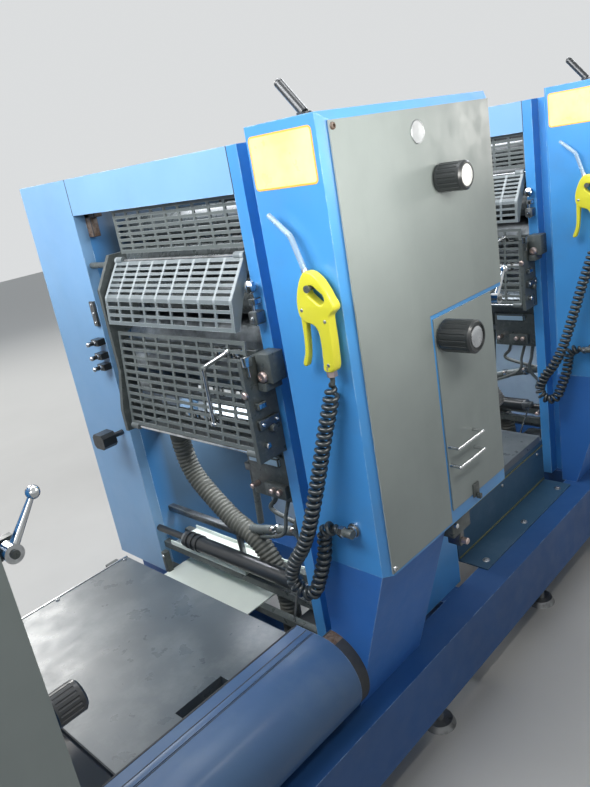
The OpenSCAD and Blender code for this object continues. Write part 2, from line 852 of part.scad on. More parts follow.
// A moulded box with a rim at its top, which stands on the base's cross member
module drain_box() {
    in = 4;
    translate([0, 0, z_rail]) linear_extrude(drain_h)
        cut_corners(drain_x[0] + in, drain_y[0] + in, drain_x[1] - in, drain_y[1] - in, 12);
    translate([0, 0, z_rail + drain_h - 14]) linear_extrude(10)
        cut_corners(drain_x[0], drain_y[0], drain_x[1], drain_y[1], 14);
}

module drain_boxes() {
    color(black) at_units() drain_box();
}

// Small pieces on the far post, the cover and the door

module post_latches() {
    color(black) at_units() {
        for (z = latch_z) {
            box([6, y_far + 4, z - 9], [x_frame, y_far + 38, z + 9]);
            rod_along_x(-10, 7, y_far + 24, z, 6);
        }
        rod_along_x(-10, x_frame, y_far + 42, post_knob_z, 8);
        across(-52) linear_extrude(44) translate([y_far + 42, post_knob_z]) difference() {
            square([56, 44], center = true);
            for (a = [-1, 1], b = [-1, 1])
                translate([a * 28, b * 22]) rotate(45) square([14, 14], center = true);
        }
    }
}

module lever_brackets() {
    y0 = lever_y + lever_hub_w / 2 + 6;
    color(dark) for (i = [0 : units - 1]) at_unit(i) {
        box([x_step(i), y0, lever_z - 14], [lever_x + 14, y0 + 12, lever_z + 14]);
        rod_along_y(lever_x, lever_z, lever_y - lever_hub_w / 2 - 3, y0 + 1, lever_pin_r);
    }
}

module throw_lever() {
    hub = [lever_x, lever_y, lever_z];
    difference() {
        union() {
            rod_along_y(lever_x, lever_z, lever_y - lever_hub_w / 2, lever_y + lever_hub_w / 2, lever_hub_r);
            translate(hub) rotate([0, 90 - lever_rest, 0]) {
                cylinder(r1 = lever_root_r, r2 = lever_r, h = lever_l);
                translate([0, 0, lever_l]) sphere(r = lever_ball_r);
            }
        }
        rod_along_y(lever_x, lever_z, lever_y - lever_hub_w, lever_y + lever_hub_w, lever_pin_r + run_gap);
    }
}

module rear_knobs() {
    color(black) for (i = [0 : units - 1]) at_unit(i) {
        rod_along_x(x_step(i), cover_d + 10, rear_knob_y, rear_knob_z, 8);
        translate([cover_d + 5, rear_knob_y, rear_knob_z]) rotate([0, 90, 0]) knob(50, 50);
    }
}

module door_pull(z) {
    x0 = x_door + 6;
    x1 = x0 + pull_w;
    rod_along_x(x0, x1, -pull_reach, z, pull_r);
    for (x = [x0, x1]) {
        rod_along_y(x, z, -pull_reach, 0, pull_r);
        elbow([x, -pull_reach, z], pull_r);
    }
}

module door_pulls() {
    color(chrome) at_units() for (k = [0, 1]) door_pull(pull_z + k * pull_step);
}

module top_grips() {
    foot = [60, 94, unit_h];
    tip = foot + grip_l * [0, sin(38), cos(38)];
    color(black) at_units() {
        translate(foot) cylinder(r = grip_r + 5, h = 7);
        rod(foot + [0, 0, 6], tip, grip_r);
        elbow(tip, grip_r);
    }
}

module cover_fittings() {
    end = coil_route[len(coil_route) - 1];
    color(dark) at_units() {
        rod_along_x(-gun_x - gun_t / 2 - 4, 0, gun_y, gun_z, peg_r);
        rod_along_x(-gun_x - gun_t / 2 - 7, -gun_x - gun_t / 2 - 4 + eps, gun_y, gun_z, peg_r + 3);
        rod_along_y(end.x, end.z, end.y - 34, end.y + 3, 9);
        rod_along_x(end.x, 0, end.y - 24, end.z, 7);
        rod_along_x(-5, 0, end.y - 24, end.z, 14);
    }
}

// Air gun: grip, trigger and head are one outline; it hangs by its slot on the peg
module gun() {
    slot_top = [0, -(gun_slot_r - peg_r - gun_seat)];
    slot_low = slot_top + [-11, -16];
    across(-gun_x - gun_t / 2) linear_extrude(gun_t) translate([gun_y, gun_z]) difference() {
        polygon(gun_outline);
        translate(slot_top) circle(r = gun_slot_r);
        translate(slot_low) circle(r = gun_slot_r);
        translate((slot_top + slot_low) / 2) rotate(atan2(16, 11))
            square([norm(slot_low - slot_top), 2 * gun_slot_r - 1], center = true);
    }
    base = [-gun_x, gun_y + 14, gun_z + 24];
    bend = [-gun_x, gun_y + 44, gun_z + 94];
    tip = [-gun_x, gun_y + 84, gun_z + 132];
    rod(base, bend, nozzle_r);
    elbow(bend, nozzle_r);
    rod(bend, tip, nozzle_r);
    rod([-gun_x, gun_y + gun_tail.x, gun_z + gun_tail.y],
        [-gun_x, gun_y + gun_tail_end.x, gun_z + gun_tail_end.y], 7);
}

module air_guns() {
    color("yellow") at_units() gun();
}

// Coiled air hose: one tube of the coil's outer size along its route

function ring_at(u) =
    let (
        n = len(coil_route) - 1,
        k = min(floor(u), n - 1),
        t = u - k,
        p0 = coil_route[max(k - 1, 0)],
        p1 = coil_route[k],
        p2 = coil_route[k + 1],
        p3 = coil_route[min(k + 2, n)]
    ) 0.5 * (2 * p1 + (p2 - p0) * t + (2 * p0 - 5 * p1 + 4 * p2 - p3) * t * t
        + (3 * p1 - p0 - 3 * p2 + p3) * t * t * t);

module air_hose() {
    n = coil_rings;
    span = len(coil_route) - 1;
    centres = [for (k = [0 : n - 1]) ring_at(k * span / (n - 1))];
    points = [for (k = [0 : n - 1])
        let (
            ahead = centres[min(k + 1, n - 1)],
            behind = centres[max(k - 1, 0)],
            t = (ahead - behind) / norm(ahead - behind),
            side = [1, 0, 0] - t.x * t,
            u = side / norm(side),
            v = cross(t, u)
        )
        for (s = [0 : coil_sides - 1])
            centres[k] + coil_r * (cos(s * 360 / coil_sides) * u + sin(s * 360 / coil_sides) * v)];
    walls = [for (k = [0 : n - 2], s = [0 : coil_sides - 1])
        let (a = k * coil_sides + s, b = k * coil_sides + (s + 1) % coil_sides)
        [a, a + coil_sides, b + coil_sides, b]];
    first = [for (s = [0 : coil_sides - 1]) s];
    last = [for (s = [coil_sides - 1 : -1 : 0]) (n - 1) * coil_sides + s];
    polyhedron(points, concat(walls, [first, last]));
}

module ink_guard_node(i) color(dark) at_unit(i) ink_guard();
module plate_guard_node(i) color(dark) at_unit(i) plate_guard();
module throw_lever_node(i) color(chrome) at_unit(i) throw_lever();
module air_hose_node(i) color(black) at_unit(i) air_hose();

module knob_node(i, x, z, d, l) {
    color(black) at_unit(i) {
        translate([x, -knob_gap, z]) rotate([90, 0, 0]) knob(d, l);
        rod_along_y(x, z, -knob_gap - 10, knob_shaft_in, knob_shaft_r);
    }
}

module upper_knob_node(i) knob_node(i, upper_knob_x, upper_knob_z, upper_knob_d, upper_knob_l);
module lower_knob_node(i) knob_node(i, lower_knob_x, lower_knob_z, lower_knob_d, lower_knob_l);

operator_base_rail();
far_base_rail();
base_cross_members();
levelling_feet();
step_boards();
step_nosings();
step_risers();
step_supports();
operator_side_frames();
far_side_frames();
operator_covers();
operator_leg_covers();
grey_panels();
door_panels();
far_covers();
far_leg_covers();
portal_beams();
top_covers();
rear_cross_panels();
rear_guards();
upper_grilles();
guard_carriers();
guard_hinge_rods();
tie_bars();
cylinders();
ink_rollers();
damp_rollers();
suction_hoses();
cross_tubes();
tray_bars();
drip_trays();
drain_boxes();
post_latches();
lever_brackets();
rear_knobs();
door_pulls();
top_grips();
cover_fittings();
air_guns();
ink_guard_node(0);  // ink_guard_1
ink_guard_node(1);  // ink_guard_2
ink_guard_node(2);  // ink_guard_3
plate_guard_node(0);  // plate_guard_1
plate_guard_node(1);  // plate_guard_2
plate_guard_node(2);  // plate_guard_3
upper_knob_node(0);  // upper_knob_1
upper_knob_node(1);  // upper_knob_2
upper_knob_node(2);  // upper_knob_3
lower_knob_node(0);  // lower_knob_1
lower_knob_node(1);  // lower_knob_2
lower_knob_node(2);  // lower_knob_3
throw_lever_node(0);  // throw_lever_1
throw_lever_node(1);  // throw_lever_2
throw_lever_node(2);  // throw_lever_3
air_hose_node(0);  // air_hose_1
air_hose_node(1);  // air_hose_2
air_hose_node(2);  // air_hose_3
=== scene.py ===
"""Offset printing press: three printing units on one base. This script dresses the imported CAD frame."""
import math

import bmesh
import bpy
from mathutils import Matrix, Vector


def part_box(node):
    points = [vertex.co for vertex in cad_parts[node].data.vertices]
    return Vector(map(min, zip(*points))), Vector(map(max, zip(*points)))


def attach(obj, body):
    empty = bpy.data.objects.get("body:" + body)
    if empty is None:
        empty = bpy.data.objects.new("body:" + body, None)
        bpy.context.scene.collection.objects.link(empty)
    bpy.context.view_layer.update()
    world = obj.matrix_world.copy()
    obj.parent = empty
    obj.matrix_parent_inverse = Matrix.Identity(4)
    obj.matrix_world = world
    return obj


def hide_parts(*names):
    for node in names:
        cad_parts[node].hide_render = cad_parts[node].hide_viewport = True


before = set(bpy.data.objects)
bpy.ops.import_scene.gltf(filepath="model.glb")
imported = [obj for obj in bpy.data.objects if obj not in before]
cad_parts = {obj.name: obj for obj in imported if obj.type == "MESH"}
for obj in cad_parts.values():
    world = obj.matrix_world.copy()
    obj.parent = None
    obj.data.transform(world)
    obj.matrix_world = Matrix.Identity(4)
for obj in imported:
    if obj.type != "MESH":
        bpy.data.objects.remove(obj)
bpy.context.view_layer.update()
scene = bpy.context.scene
MM = 0.001
UNITS = (1, 2, 3)
PRESS = "press"

# Places inside a unit are in millimetres: x back from its front plane, y across from its grey panel,
# z up from the floor. The knobs' bodies say where each unit stands.
UPPER_KNOB = (325, 1436)
LOWER_KNOB = (285, 1120)
REAR_KNOB = (620, 80, 845)
HOSE_PORT = (-20, 100, 780)
X_COVER_END = 565
X_FAR_COVER_END = 555
Y_OPEN = 285
Y_FAR = 927
Y_BEVEL = 1180
Y_CARRIER = 271
X_FRAME = 30
X_FRAME_END = 545
REAR_SLOTS_END = X_FRAME_END - 11.5
Z_RAIL = 278
Z_OPENING = 1475
Z_PORTAL = 1567
panel_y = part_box("door_panels")[0].y
unit_x = {}
for k in UNITS:
    low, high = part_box(f"upper_knob_{k}")
    unit_x[k] = (low.x + high.x) / 2 - UPPER_KNOB[0] * MM
unit_pitch = unit_x[2] - unit_x[1]


def at(k, x, y, z):
    """The point of unit k at x, y, z, as metres in the row frame."""
    return Vector((unit_x[k] + x * MM, panel_y + y * MM, z * MM))


# Camera: at eye height before the operator side, turned to the second unit. Angles are in degrees.
CAMERA_AT = Vector((-1.2204, -1.3640, 1.5287))
HEADING, TILT, ROLL = 46.42, -18.58, -10.14
# The photo is 787 pixels tall, and its focal length is 700 of them
SENSOR = 36
LENS = SENSOR * 700 / 787


def make_camera():
    data = bpy.data.cameras.new("camera")
    data.sensor_width = SENSOR
    data.lens = LENS
    data.clip_start = 0.05
    camera = bpy.data.objects.new("camera", data)
    heading, tilt = math.radians(HEADING), math.radians(TILT)
    forward = Vector((math.cos(heading) * math.cos(tilt), math.sin(heading) * math.cos(tilt), math.sin(tilt)))
    camera.rotation_mode = "QUATERNION"
    level = forward.to_track_quat("-Z", "Y")
    camera.rotation_quaternion = level @ Matrix.Rotation(math.radians(ROLL), 3, "Z").to_quaternion()
    camera.location = CAMERA_AT
    scene.collection.objects.link(camera)
    scene.camera = camera


make_camera()


# Materials: each is named for what the piece is really made of

def linear(hex_colour):
    """An sRGB hex colour as the linear RGBA that shaders take."""
    channels = [int(hex_colour[i:i + 2], 16) / 255 for i in (1, 3, 5)]
    return [c / 12.92 if c <= 0.04045 else ((c + 0.055) / 1.055) ** 2.4 for c in channels] + [1.0]


def add(tree, kind, inputs=(), **settings):
    """Adds one node: settings are its properties, inputs its sockets' values or what feeds them."""
    made = tree.nodes.new(kind)
    for name, value in settings.items():
        setattr(made, name, value)
    for name, value in dict(inputs).items():
        if isinstance(value, bpy.types.NodeSocket):
            tree.links.new(value, made.inputs[name])
        else:
            made.inputs[name].default_value = value
    return made


def blank(name):
    """A material with its shader and the object's own coordinates, which are the row frame in metres."""
    material = bpy.data.materials.new(name)
    material.use_nodes = True
    tree = material.node_tree
    shader = tree.nodes["Principled BSDF"]
    where = add(tree, "ShaderNodeTexCoord").outputs["Object"]
    return material, tree, shader, where


def patches(tree, where, size, low=0.0, high=1.0, start=0.0, end=1.0, detail=3, roughness=0.55,
            stretch=(1, 1, 1)):
    """Soft patches about size millimetres across, from start where they are faint to end where full."""
    mapped = add(tree, "ShaderNodeMapping", {"Vector": where, "Scale": stretch}).outputs[0]
    cloud = add(tree, "ShaderNodeTexNoise", {
        "Vector": mapped, "Scale": 1 / (size * MM), "Detail": detail, "Roughness": roughness}).outputs[0]
    return add(tree, "ShaderNodeMapRange", {
        "Value": cloud, "From Min": low, "From Max": high, "To Min": start, "To Max": end}).outputs[0]


def overlap(tree, *masks):
    """What all masks cover together."""
    shared = masks[0]
    for mask in masks[1:]:
        shared = add(tree, "ShaderNodeMath", {0: shared, 1: mask}, operation="MULTIPLY").outputs[0]
    return shared


def inside(tree, *limits):
    """1 inside all limits and 0 outside: each is a value, where it gives 0 and where it gives 1."""
    return overlap(tree, *[add(tree, "ShaderNodeMapRange", {
        "Value": value, "From Min": outer, "From Max": inner}).outputs[0] for value, outer, inner in limits])


def coats(tree, first, *further):
    """A colour built up in coats: each further one covers as much as its share says."""
    colour = linear(first)
    for share, over in further:
        mix = add(tree, "ShaderNodeMix", {0: share, 6: colour, 7: linear(over)}, data_type="RGBA")
        colour = mix.outputs[2]
    return colour


def edge_wear(tree, radius):
    """1 on edges sharper than radius millimetres and 0 on flats, from how far a rounded normal turns."""
    rounded = add(tree, "ShaderNodeBevel", {"Radius": radius * MM}, samples=4).outputs[0]
    flat = add(tree, "ShaderNodeNewGeometry").outputs["Normal"]
    turned = add(tree, "ShaderNodeVectorMath", {0: rounded, 1: flat}, operation="DOT_PRODUCT")
    return inside(tree, (turned.outputs["Value"], 0.995, 0.85))


def grain(tree, shader, where, size, strength, depth, detail=2, roughness=0.55):
    """Raises a grain of size millimetres, depth millimetres high."""
    height = patches(tree, where, size, detail=detail, roughness=roughness)
    raised = add(tree, "ShaderNodeBump", {"Height": height, "Strength": strength, "Distance": depth * MM})
    tree.links.new(raised.outputs[0], shader.inputs["Normal"])


def finish(tree, shader, colour, roughness):
    """Gives the shader its colour and how rough it is from place to place."""
    tree.links.new(colour, shader.inputs["Base Color"])
    tree.links.new(roughness, shader.inputs["Roughness"])


def unit_place(tree, where):
    """Where a point is in its own unit, in millimetres: back, across and up, as at() takes them."""
    moved = add(tree, "ShaderNodeVectorMath", {0: where, 1: at(1, 0, 0, 0)}, operation="SUBTRACT")
    scaled = add(tree, "ShaderNodeVectorMath", {0: moved.outputs[0], 1: [1 / MM] * 3}, operation="MULTIPLY")
    back, across, up = add(tree, "ShaderNodeSeparateXYZ", {0: scaled.outputs[0]}).outputs
    own = add(tree, "ShaderNodeMath", {0: back, 1: unit_pitch / MM}, operation="FLOORED_MODULO")
    return own.outputs[0], across, up


# Ink mist and painted shade inside the openings: how strong and what colour
MIST_AND_SHADE_STRENGTH = 0.92
MIST_AND_SHADE_COLOUR = "#3A464E"
GRIME_COLOUR = "#5E7386"
SEAM_COLOUR = "#10202E"
SEAM_HEIGHTS = (982, 1460)
SEAM_BACK = 292


def ink_mist_and_painted_shade(tree, where):
    """Share of ink mist and painted shade on the faces inside a unit's opening, which darkens them where
    shade falls deep in the machine; none on the housings' outsides.
    """
    back, across, up = unit_place(tree, where)
    mist_and_shade_inside = inside(tree, (across, Y_OPEN - 4, Y_OPEN - 1), (across, Y_FAR + 4, Y_FAR + 1),
                     (back, X_FRAME + 3, X_FRAME + 100), (back, X_FRAME_END - 1, X_FRAME_END - 3),
                     (up, Z_PORTAL, Z_PORTAL - 2))
    # The mist and painted shade are weaker low down: all of it above 600 mm over the floor, 0.6 of it below
    # 300 mm
    thinner_low = add(tree, "ShaderNodeMapRange", {
        "Value": up, "From Min": 300, "From Max": 600, "To Min": 0.6}).outputs[0]
    return overlap(tree, mist_and_shade_inside, thinner_low, MIST_AND_SHADE_STRENGTH)


def sheet_seams(tree, where):
    """1 on the joints between the sheets of the drive side, which the photo doesn't show."""
    back, across, up = unit_place(tree, where)
    lines = 0.0
    for value, seam in (*[(up, height) for height in SEAM_HEIGHTS], (back, SEAM_BACK)):
        off = add(tree, "ShaderNodeMath", {0: value, 1: seam}, operation="SUBTRACT").outputs[0]
        off = add(tree, "ShaderNodeMath", {0: off}, operation="ABSOLUTE").outputs[0]
        line = inside(tree, (off, 2.2, 1.2))
        lines = add(tree, "ShaderNodeMath", {0: line, 1: lines}, operation="MAXIMUM").outputs[0]
    return overlap(tree, lines, inside(tree, (across, Y_BEVEL - 0.5, Y_BEVEL + 0.5)))


def enamel_on_sheet_steel(name, colour, shade, worn, misted_and_shaded=False, gloss=0.3, dirty=0.35, coat=0.45):
    """Sprayed semi-gloss enamel: faint orange peel, dust that dulls the gloss, paint rubbed thin on edges; on
    the rails the pale edges are also a painted highlight.
    """
    material, tree, shader, where = blank(name)
    cloud = patches(tree, where, 420, 0.35, 0.65)
    # Dust and hand grease, which the photo shows as slightly greyer clouds low on the covers
    grime = patches(tree, where, 150, 0.5, 0.75, 0, dirty, 7, 0.65)
    layers = [(cloud, shade), (grime, GRIME_COLOUR)]
    # Inside the opening, ink mist and painted shade darken the enamel, and dark lines mark the drive side's
    # sheet joints
    if misted_and_shaded:
        layers += [(ink_mist_and_painted_shade(tree, where), MIST_AND_SHADE_COLOUR), (sheet_seams(tree, where), SEAM_COLOUR)]
    rub = patches(tree, where, 30, 0.42, 0.62, detail=5)
    layers.append((overlap(tree, edge_wear(tree, 3.5), rub), worn))
    dull = patches(tree, where, 60, 0.3, 0.7, gloss, gloss + 0.16, 6)
    finish(tree, shader, coats(tree, colour, *layers), dull)
    shader.inputs["Coat Weight"].default_value = coat
    shader.inputs["Coat Roughness"].default_value = 0.2
    # Real orange peel is about 2 mm; it is drawn at 5 mm so that it shows
    grain(tree, shader, where, 5, 0.12, 0.25)
    return material


def satin_paint_on_panel():
    """Grey satin paint on a flat panel: nearly smooth, with hand smears that change its gloss."""
    material, tree, shader, where = blank("satin_paint_on_panel")
    cloud = patches(tree, where, 300, 0.3, 0.7, detail=4)
    smear = patches(tree, where, 90, 0.52, 0.7, 0, 0.35, 5, stretch=(1, 1, 0.35))
    colour = coats(tree, "#8E9694", (cloud, "#828A88"), (smear, "#7E8784"))
    finish(tree, shader, colour, patches(tree, where, 45, 0.3, 0.7, 0.32, 0.5, 5))
    grain(tree, shader, where, 4, 0.08, 0.2)
    return material


def scuffed_paint_on_board():
    """Grey-blue paint on a tread plate: shoe scuffs along it, pale dust, dark scratches."""
    material, tree, shader, where = blank("scuffed_paint_on_board")
    cloud = patches(tree, where, 260, 0.3, 0.7, detail=5)
    dust = patches(tree, where, 120, 0.48, 0.72, 0, 0.35, 8, 0.7)
    scuff = patches(tree, where, 26, 0.62, 0.72, 0, 0.6, 8, 0.75, (1, 0.22, 1))
    colour = coats(tree, "#4B5358", (cloud, "#5A6267"), (dust, "#8D9291"), (scuff, "#3F4852"))
    finish(tree, shader, colour, patches(tree, where, 70, 0.3, 0.7, 0.24, 0.4, 6))
    shader.inputs["Coat Weight"].default_value = 0.2
    shader.inputs["Coat Roughness"].default_value = 0.22
    grain(tree, shader, where, 6, 0.15, 0.3, 6, 0.7)
    return material


# The bars that run down the ink guard's upper facet: where the first one starts, their pitch and width
BAR_FIRST_Y = 293
BAR_PITCH = 52.78
BAR_W = 8
FACET_FOLD_Z = 1262


def paint_on_guard(name, colour, shade, rubbed, polished=False, backed_with_painted_shade=False):
    """Thin paint on slotted sheet: bars rubbed to grey by hands and cleaning, paper dust on ledges."""
    material, tree, shader, where = blank(name)
    back, across, up = unit_place(tree, where)
    layers = [(patches(tree, where, 80, detail=4), shade)]
    if backed_with_painted_shade:
        # The sheet behind the slots is painted matt black, as painted shade for the dark depth seen through
        # them
        layers.append((inside(tree, (back, REAR_SLOTS_END + 1, REAR_SLOTS_END + 0.5)), "#1B1D1E"))
    if polished:
        # Hands sliding over the upper facet have rubbed the bars that run down it
        off = add(tree, "ShaderNodeMath", {0: across, 1: BAR_FIRST_Y}, operation="SUBTRACT").outputs[0]
        off = add(tree, "ShaderNodeMath", {0: off, 1: BAR_PITCH}, operation="FLOORED_MODULO").outputs[0]
        bar = inside(tree, (off, BAR_W + 0.5, BAR_W - 1), (up, FACET_FOLD_Z, FACET_FOLD_Z + 10))
        layers.append((overlap(tree, bar, 0.6), rubbed))
    rub = patches(tree, where, 45, 0.35, 0.6, detail=6)
    layers.append((overlap(tree, edge_wear(tree, 2.5), rub), rubbed))
    normal = add(tree, "ShaderNodeNewGeometry").outputs["Normal"]
    upward = add(tree, "ShaderNodeSeparateXYZ", {0: normal}).outputs["Z"]
    dust = patches(tree, where, 24, 0.3, 0.6, 0, 0.45, 5)
    layers.append((overlap(tree, inside(tree, (upward, 0.35, 0.75)), dust), "#8B9194"))
    worn = patches(tree, where, 20, 0.3, 0.7, 0.32, 0.55, 5)
    finish(tree, shader, coats(tree, colour, *layers), worn)
    grain(tree, shader, where, 3, 0.12, 0.2)
    return material


def bare_metal(name, colour, shade, roughness, spread, dirt=0.0):
    """A bare metal: its colour is its reflection, its finish is in how rough it is from place to place."""
    material, tree, shader, where = blank(name)
    layers = [(patches(tree, where, 48, 0.3, 0.7, detail=5), shade)]
    if dirt:
        layers.append((patches(tree, where, 34, 0.5, 0.66, 0, dirt, 6), "#1B1A18"))
    shader.inputs["Metallic"].default_value = 1.0
    fine = patches(tree, where, 8, 0.3, 0.7, roughness, roughness + spread, 4)
    finish(tree, shader, coats(tree, colour, *layers), fine)
    return material


def moulded_plastic(name, colour, shade, roughness, ior, size, depth, coat=0.0, edges=None):
    """A moulded plastic: fine spark-eroded grain from the mould, gloss where hands have polished it."""
    material, tree, shader, where = blank(name)
    layers = [(patches(tree, where, 40, detail=4), shade)]
    if edges:
        layers.append((overlap(tree, edge_wear(tree, 1.5), 0.7), edges))
    shader.inputs["IOR"].default_value = ior
    shader.inputs["Coat Weight"].default_value = coat
    polish = patches(tree, where, 14, 0.3, 0.7, roughness, roughness + 0.15, 4)
    finish(tree, shader, coats(tree, colour, *layers), polish)
    grain(tree, shader, where, size, 0.25, depth)
    return material


def oiled_black_steel():
    """Blackened steel brackets under a film of oil, ink mist and lint."""
    material, tree, shader, where = blank("oiled_black_steel")
    lint = patches(tree, where, 16, 0.52, 0.68, 0, 0.6, 8, 0.7)
    colour = coats(tree, "#3E4342", (patches(tree, where, 50, detail=5), "#5A605E"), (lint, "#6F736F"))
    finish(tree, shader, colour, patches(tree, where, 22, 0.3, 0.7, 0.22, 0.55, 5))
    grain(tree, shader, where, 5, 0.2, 0.3, 4)
    return material


def inked_rubber():
    """Rubber roller sleeves, wet with black ink: smooth, glossy, slightly mottled."""
    material, tree, shader, where = blank("inked_rubber")
    colour = coats(tree, "#3A3E3E", (patches(tree, where, 30, detail=5), "#555A58"))
    finish(tree, shader, colour, patches(tree, where, 25, 0.3, 0.7, 0.18, 0.42, 4))
    return material


def rusty_steel():
    """Bare steel that has rusted under old oil: brown bloom over dull grey."""
    material, tree, shader, where = blank("rusty_steel")
    bloom = patches(tree, where, 12, 0.38, 0.62, detail=7, roughness=0.7)
    dull = patches(tree, where, 12, 0.38, 0.62, 0.45, 0.8, 7, 0.7)
    finish(tree, shader, coats(tree, "#6B5F55", (bloom, "#4E3A2B")), dull)
    grain(tree, shader, where, 3, 0.4, 0.3, 5)
    return material


def label_film():
    """Yellow label film, bare: faintly uneven colour and a light gloss."""
    material, tree, shader, where = blank("label_film")
    colour = coats(tree, "#F3EE86", (patches(tree, where, 70, 0.3, 0.7), "#F7F4A2"))
    finish(tree, shader, colour, patches(tree, where, 30, 0.3, 0.7, 0.25, 0.4))
    return material


def clear_pvc():
    """Clear soft tube: light passes, a slight milky tint, dark specks of dust inside."""
    material, tree, shader, where = blank("clear_pvc")
    colour = coats(tree, "#C4D8E4", (patches(tree, where, 6, 0.6, 0.7, detail=4), "#8C9AA2"))
    finish(tree, shader, colour, patches(tree, where, 10, 0.3, 0.7, 0.12, 0.3, 2))
    shader.inputs["Transmission Weight"].default_value = 0.6
    shader.inputs["IOR"].default_value = 1.5
    return material


BLUE = enamel_on_sheet_steel("blue_enamel_on_steel", "#4896D6", "#428CCB", "#A4CAE8", True, dirty=0.2)
# The portals' and far covers' enamel is painted paler and greyer than the covers', as a painted sheen of
# window light on them
PORTAL_BLUE_WITH_SHEEN = enamel_on_sheet_steel("enamel_with_painted_sheen_on_portal", "#82AED4", "#78A4CC", "#BCD4E6", True, 0.34, 0.12)
# The rails and leg covers are duller than the covers, and the leg covers' blue is painted lighter than the
# rails' as painted light on their lit faces
DULLER = {"gloss": 0.42, "dirty": 0.08, "coat": 0.08}
# On the rails the pale worn edges are partly rubbed paint and partly a painted highlight along their top
# edges
DEEP_BLUE = enamel_on_sheet_steel("deep_blue_enamel_on_steel", "#24548E", "#214C80", "#8FA9C6", **DULLER)
LEG_BLUE = enamel_on_sheet_steel("blue_enamel_painted_lit_on_leg", "#336FBA", "#2F68AE", "#8FA9C6", **DULLER)
# The rolled nosing is the same enamel, greyed by shoe dust and painted darker as painted shade
NOSING = enamel_on_sheet_steel("dusty_enamel_with_painted_shade_on_nosing", "#36567F", "#405F82", "#8598AC", gloss=0.4,
                               coat=0.15)
# The riser's enamel is a greyer blue than the rails'
RISER = enamel_on_sheet_steel("greyer_enamel_on_riser", "#36586F", "#305068", "#6E8090", gloss=0.4, coat=0.1)
# The cross panel behind the rollers is painted pale: partly a bloom of spray powder, partly painted light for
# the light that falls in on it from behind
POWDERED_AND_LIT_BLUE = enamel_on_sheet_steel("powdered_enamel_painted_lit", "#96A7B3", "#8799A8", "#B4C4D0", gloss=0.5)
GREY = satin_paint_on_panel()
BOARD = scuffed_paint_on_board()
GUARD_PAINT = ("#575D5B", "#666C6A", "#8F9593")
GUARD = paint_on_guard("dark_paint_on_guard", *GUARD_PAINT)
REAR_GUARD = paint_on_guard("dark_paint_on_rear_guard_with_painted_shade", *GUARD_PAINT, backed_with_painted_shade=True)
INK_GUARD = paint_on_guard("grey_paint_on_ink_guard", "#687071", "#767E7F", "#B4BBBC", True)
RUST = rusty_steel()
BLACK_STEEL = oiled_black_steel()
# Chrome: a mirror with faint haze from wiping
CHROME = bare_metal("polished_chrome", "#D9DBDC", "#C6C9CB", 0.08, 0.14, dirt=0.35)
# Plate steel: ground, dull, with spots of oil
STEEL = bare_metal("ground_steel", "#8E9091", "#77797A", 0.32, 0.2, dirt=0.5)
# Zinc-plated fasteners: pale and even
ZINC = bare_metal("zinc_plated_steel", "#B9BCBE", "#A3A6A8", 0.3, 0.15)
ALUMINIUM = bare_metal("turned_aluminium", "#D6D8DA", "#C9CBCD", 0.24, 0.14)
# Nickel-plated brass worn through to the metal
BRASS = bare_metal("worn_brass", "#DCCBC4", "#C2ACA4", 0.34, 0.2, dirt=0.3)
# Ink-wet cylinders: chromed jackets under a dark film
INKED = bare_metal("inked_cylinder", "#9AA0A3", "#6E7376", 0.3, 0.25, dirt=0.45)
ROLLER = inked_rubber()
# Ribbed suction hose: matt black rubber, grey with paper dust
HOSE = moulded_plastic("dusty_black_rubber", "#42443F", "#63635B", 0.55, 1.5, 3, 0.3, edges="#97968B")
KNOB = moulded_plastic("black_phenolic", "#17191B", "#24282A", 0.28, 1.6, 2.5, 0.15, 0.2, "#4A4E50")
COIL = moulded_plastic("black_polyurethane", "#1D2325", "#343B3D", 0.26, 1.5, 4, 0.1, 0.4)
YELLOW = moulded_plastic("yellow_abs", "#DCD63A", "#CFC934", 0.3, 1.53, 2.5, 0.12, 0.2)
IVORY = moulded_plastic("ivory_paint_on_tray", "#E4EAE0", "#DBE2DA", 0.3, 1.5, 6, 0.2, 0.2)
LABEL = label_film()
ORANGE = moulded_plastic("orange_print_on_film", "#EFAE45", "#F0B555", 0.3, 1.5, 6, 0.05)
CLEAR = clear_pvc()
WHITE = moulded_plastic("white_plastic_cap", "#E8E9E6", "#DADBD8", 0.35, 1.5, 4, 0.1)
PALE_BLUE = moulded_plastic("pale_blue_plastic", "#A9C8DC", "#BBD3E2", 0.3, 1.5, 4, 0.1, 0.2)
OLIVE = moulded_plastic("olive_edge_trim", "#8B8C58", "#77784B", 0.45, 1.5, 5, 0.1)
SEAL = moulded_plastic("black_rubber_seal", "#24262A", "#33363A", 0.6, 1.5, 3, 0.2, edges="#55585A")


# Shapes: each adds closed surfaces to one bmesh, and piece() makes that an object

def spline(points, steps):
    """Points on a smooth line through points, steps from each to the next."""
    made = []
    last = len(points) - 1
    for i in range(last * steps + 1):
        k = min(i // steps, last - 1)
        t = i / steps - k
        a, b, c, d = (points[min(max(j, 0), last)] for j in (k - 1, k, k + 1, k + 2))
        made.append(0.5 * (2 * b + (c - a) * t + (2 * a - 5 * b + 4 * c - d) * t ** 2
                           + (3 * b - a - 3 * c + d) * t ** 3))
    return made


def along(line, distances):
    """The points of a line at distances from its start, with the line's direction there."""
    made = []
    k, before = 0, 0.0
    for distance in distances:
        while k < len(line) - 2 and before + (line[k + 1] - line[k]).length < distance:
            before += (line[k + 1] - line[k]).length
            k += 1
        step = line[k + 1] - line[k]
        made.append((line[k] + step * ((distance - before) / step.length), step.normalized()))
    return made


def length_of(line):
    return sum((b - a).length for a, b in zip(line, line[1:]))


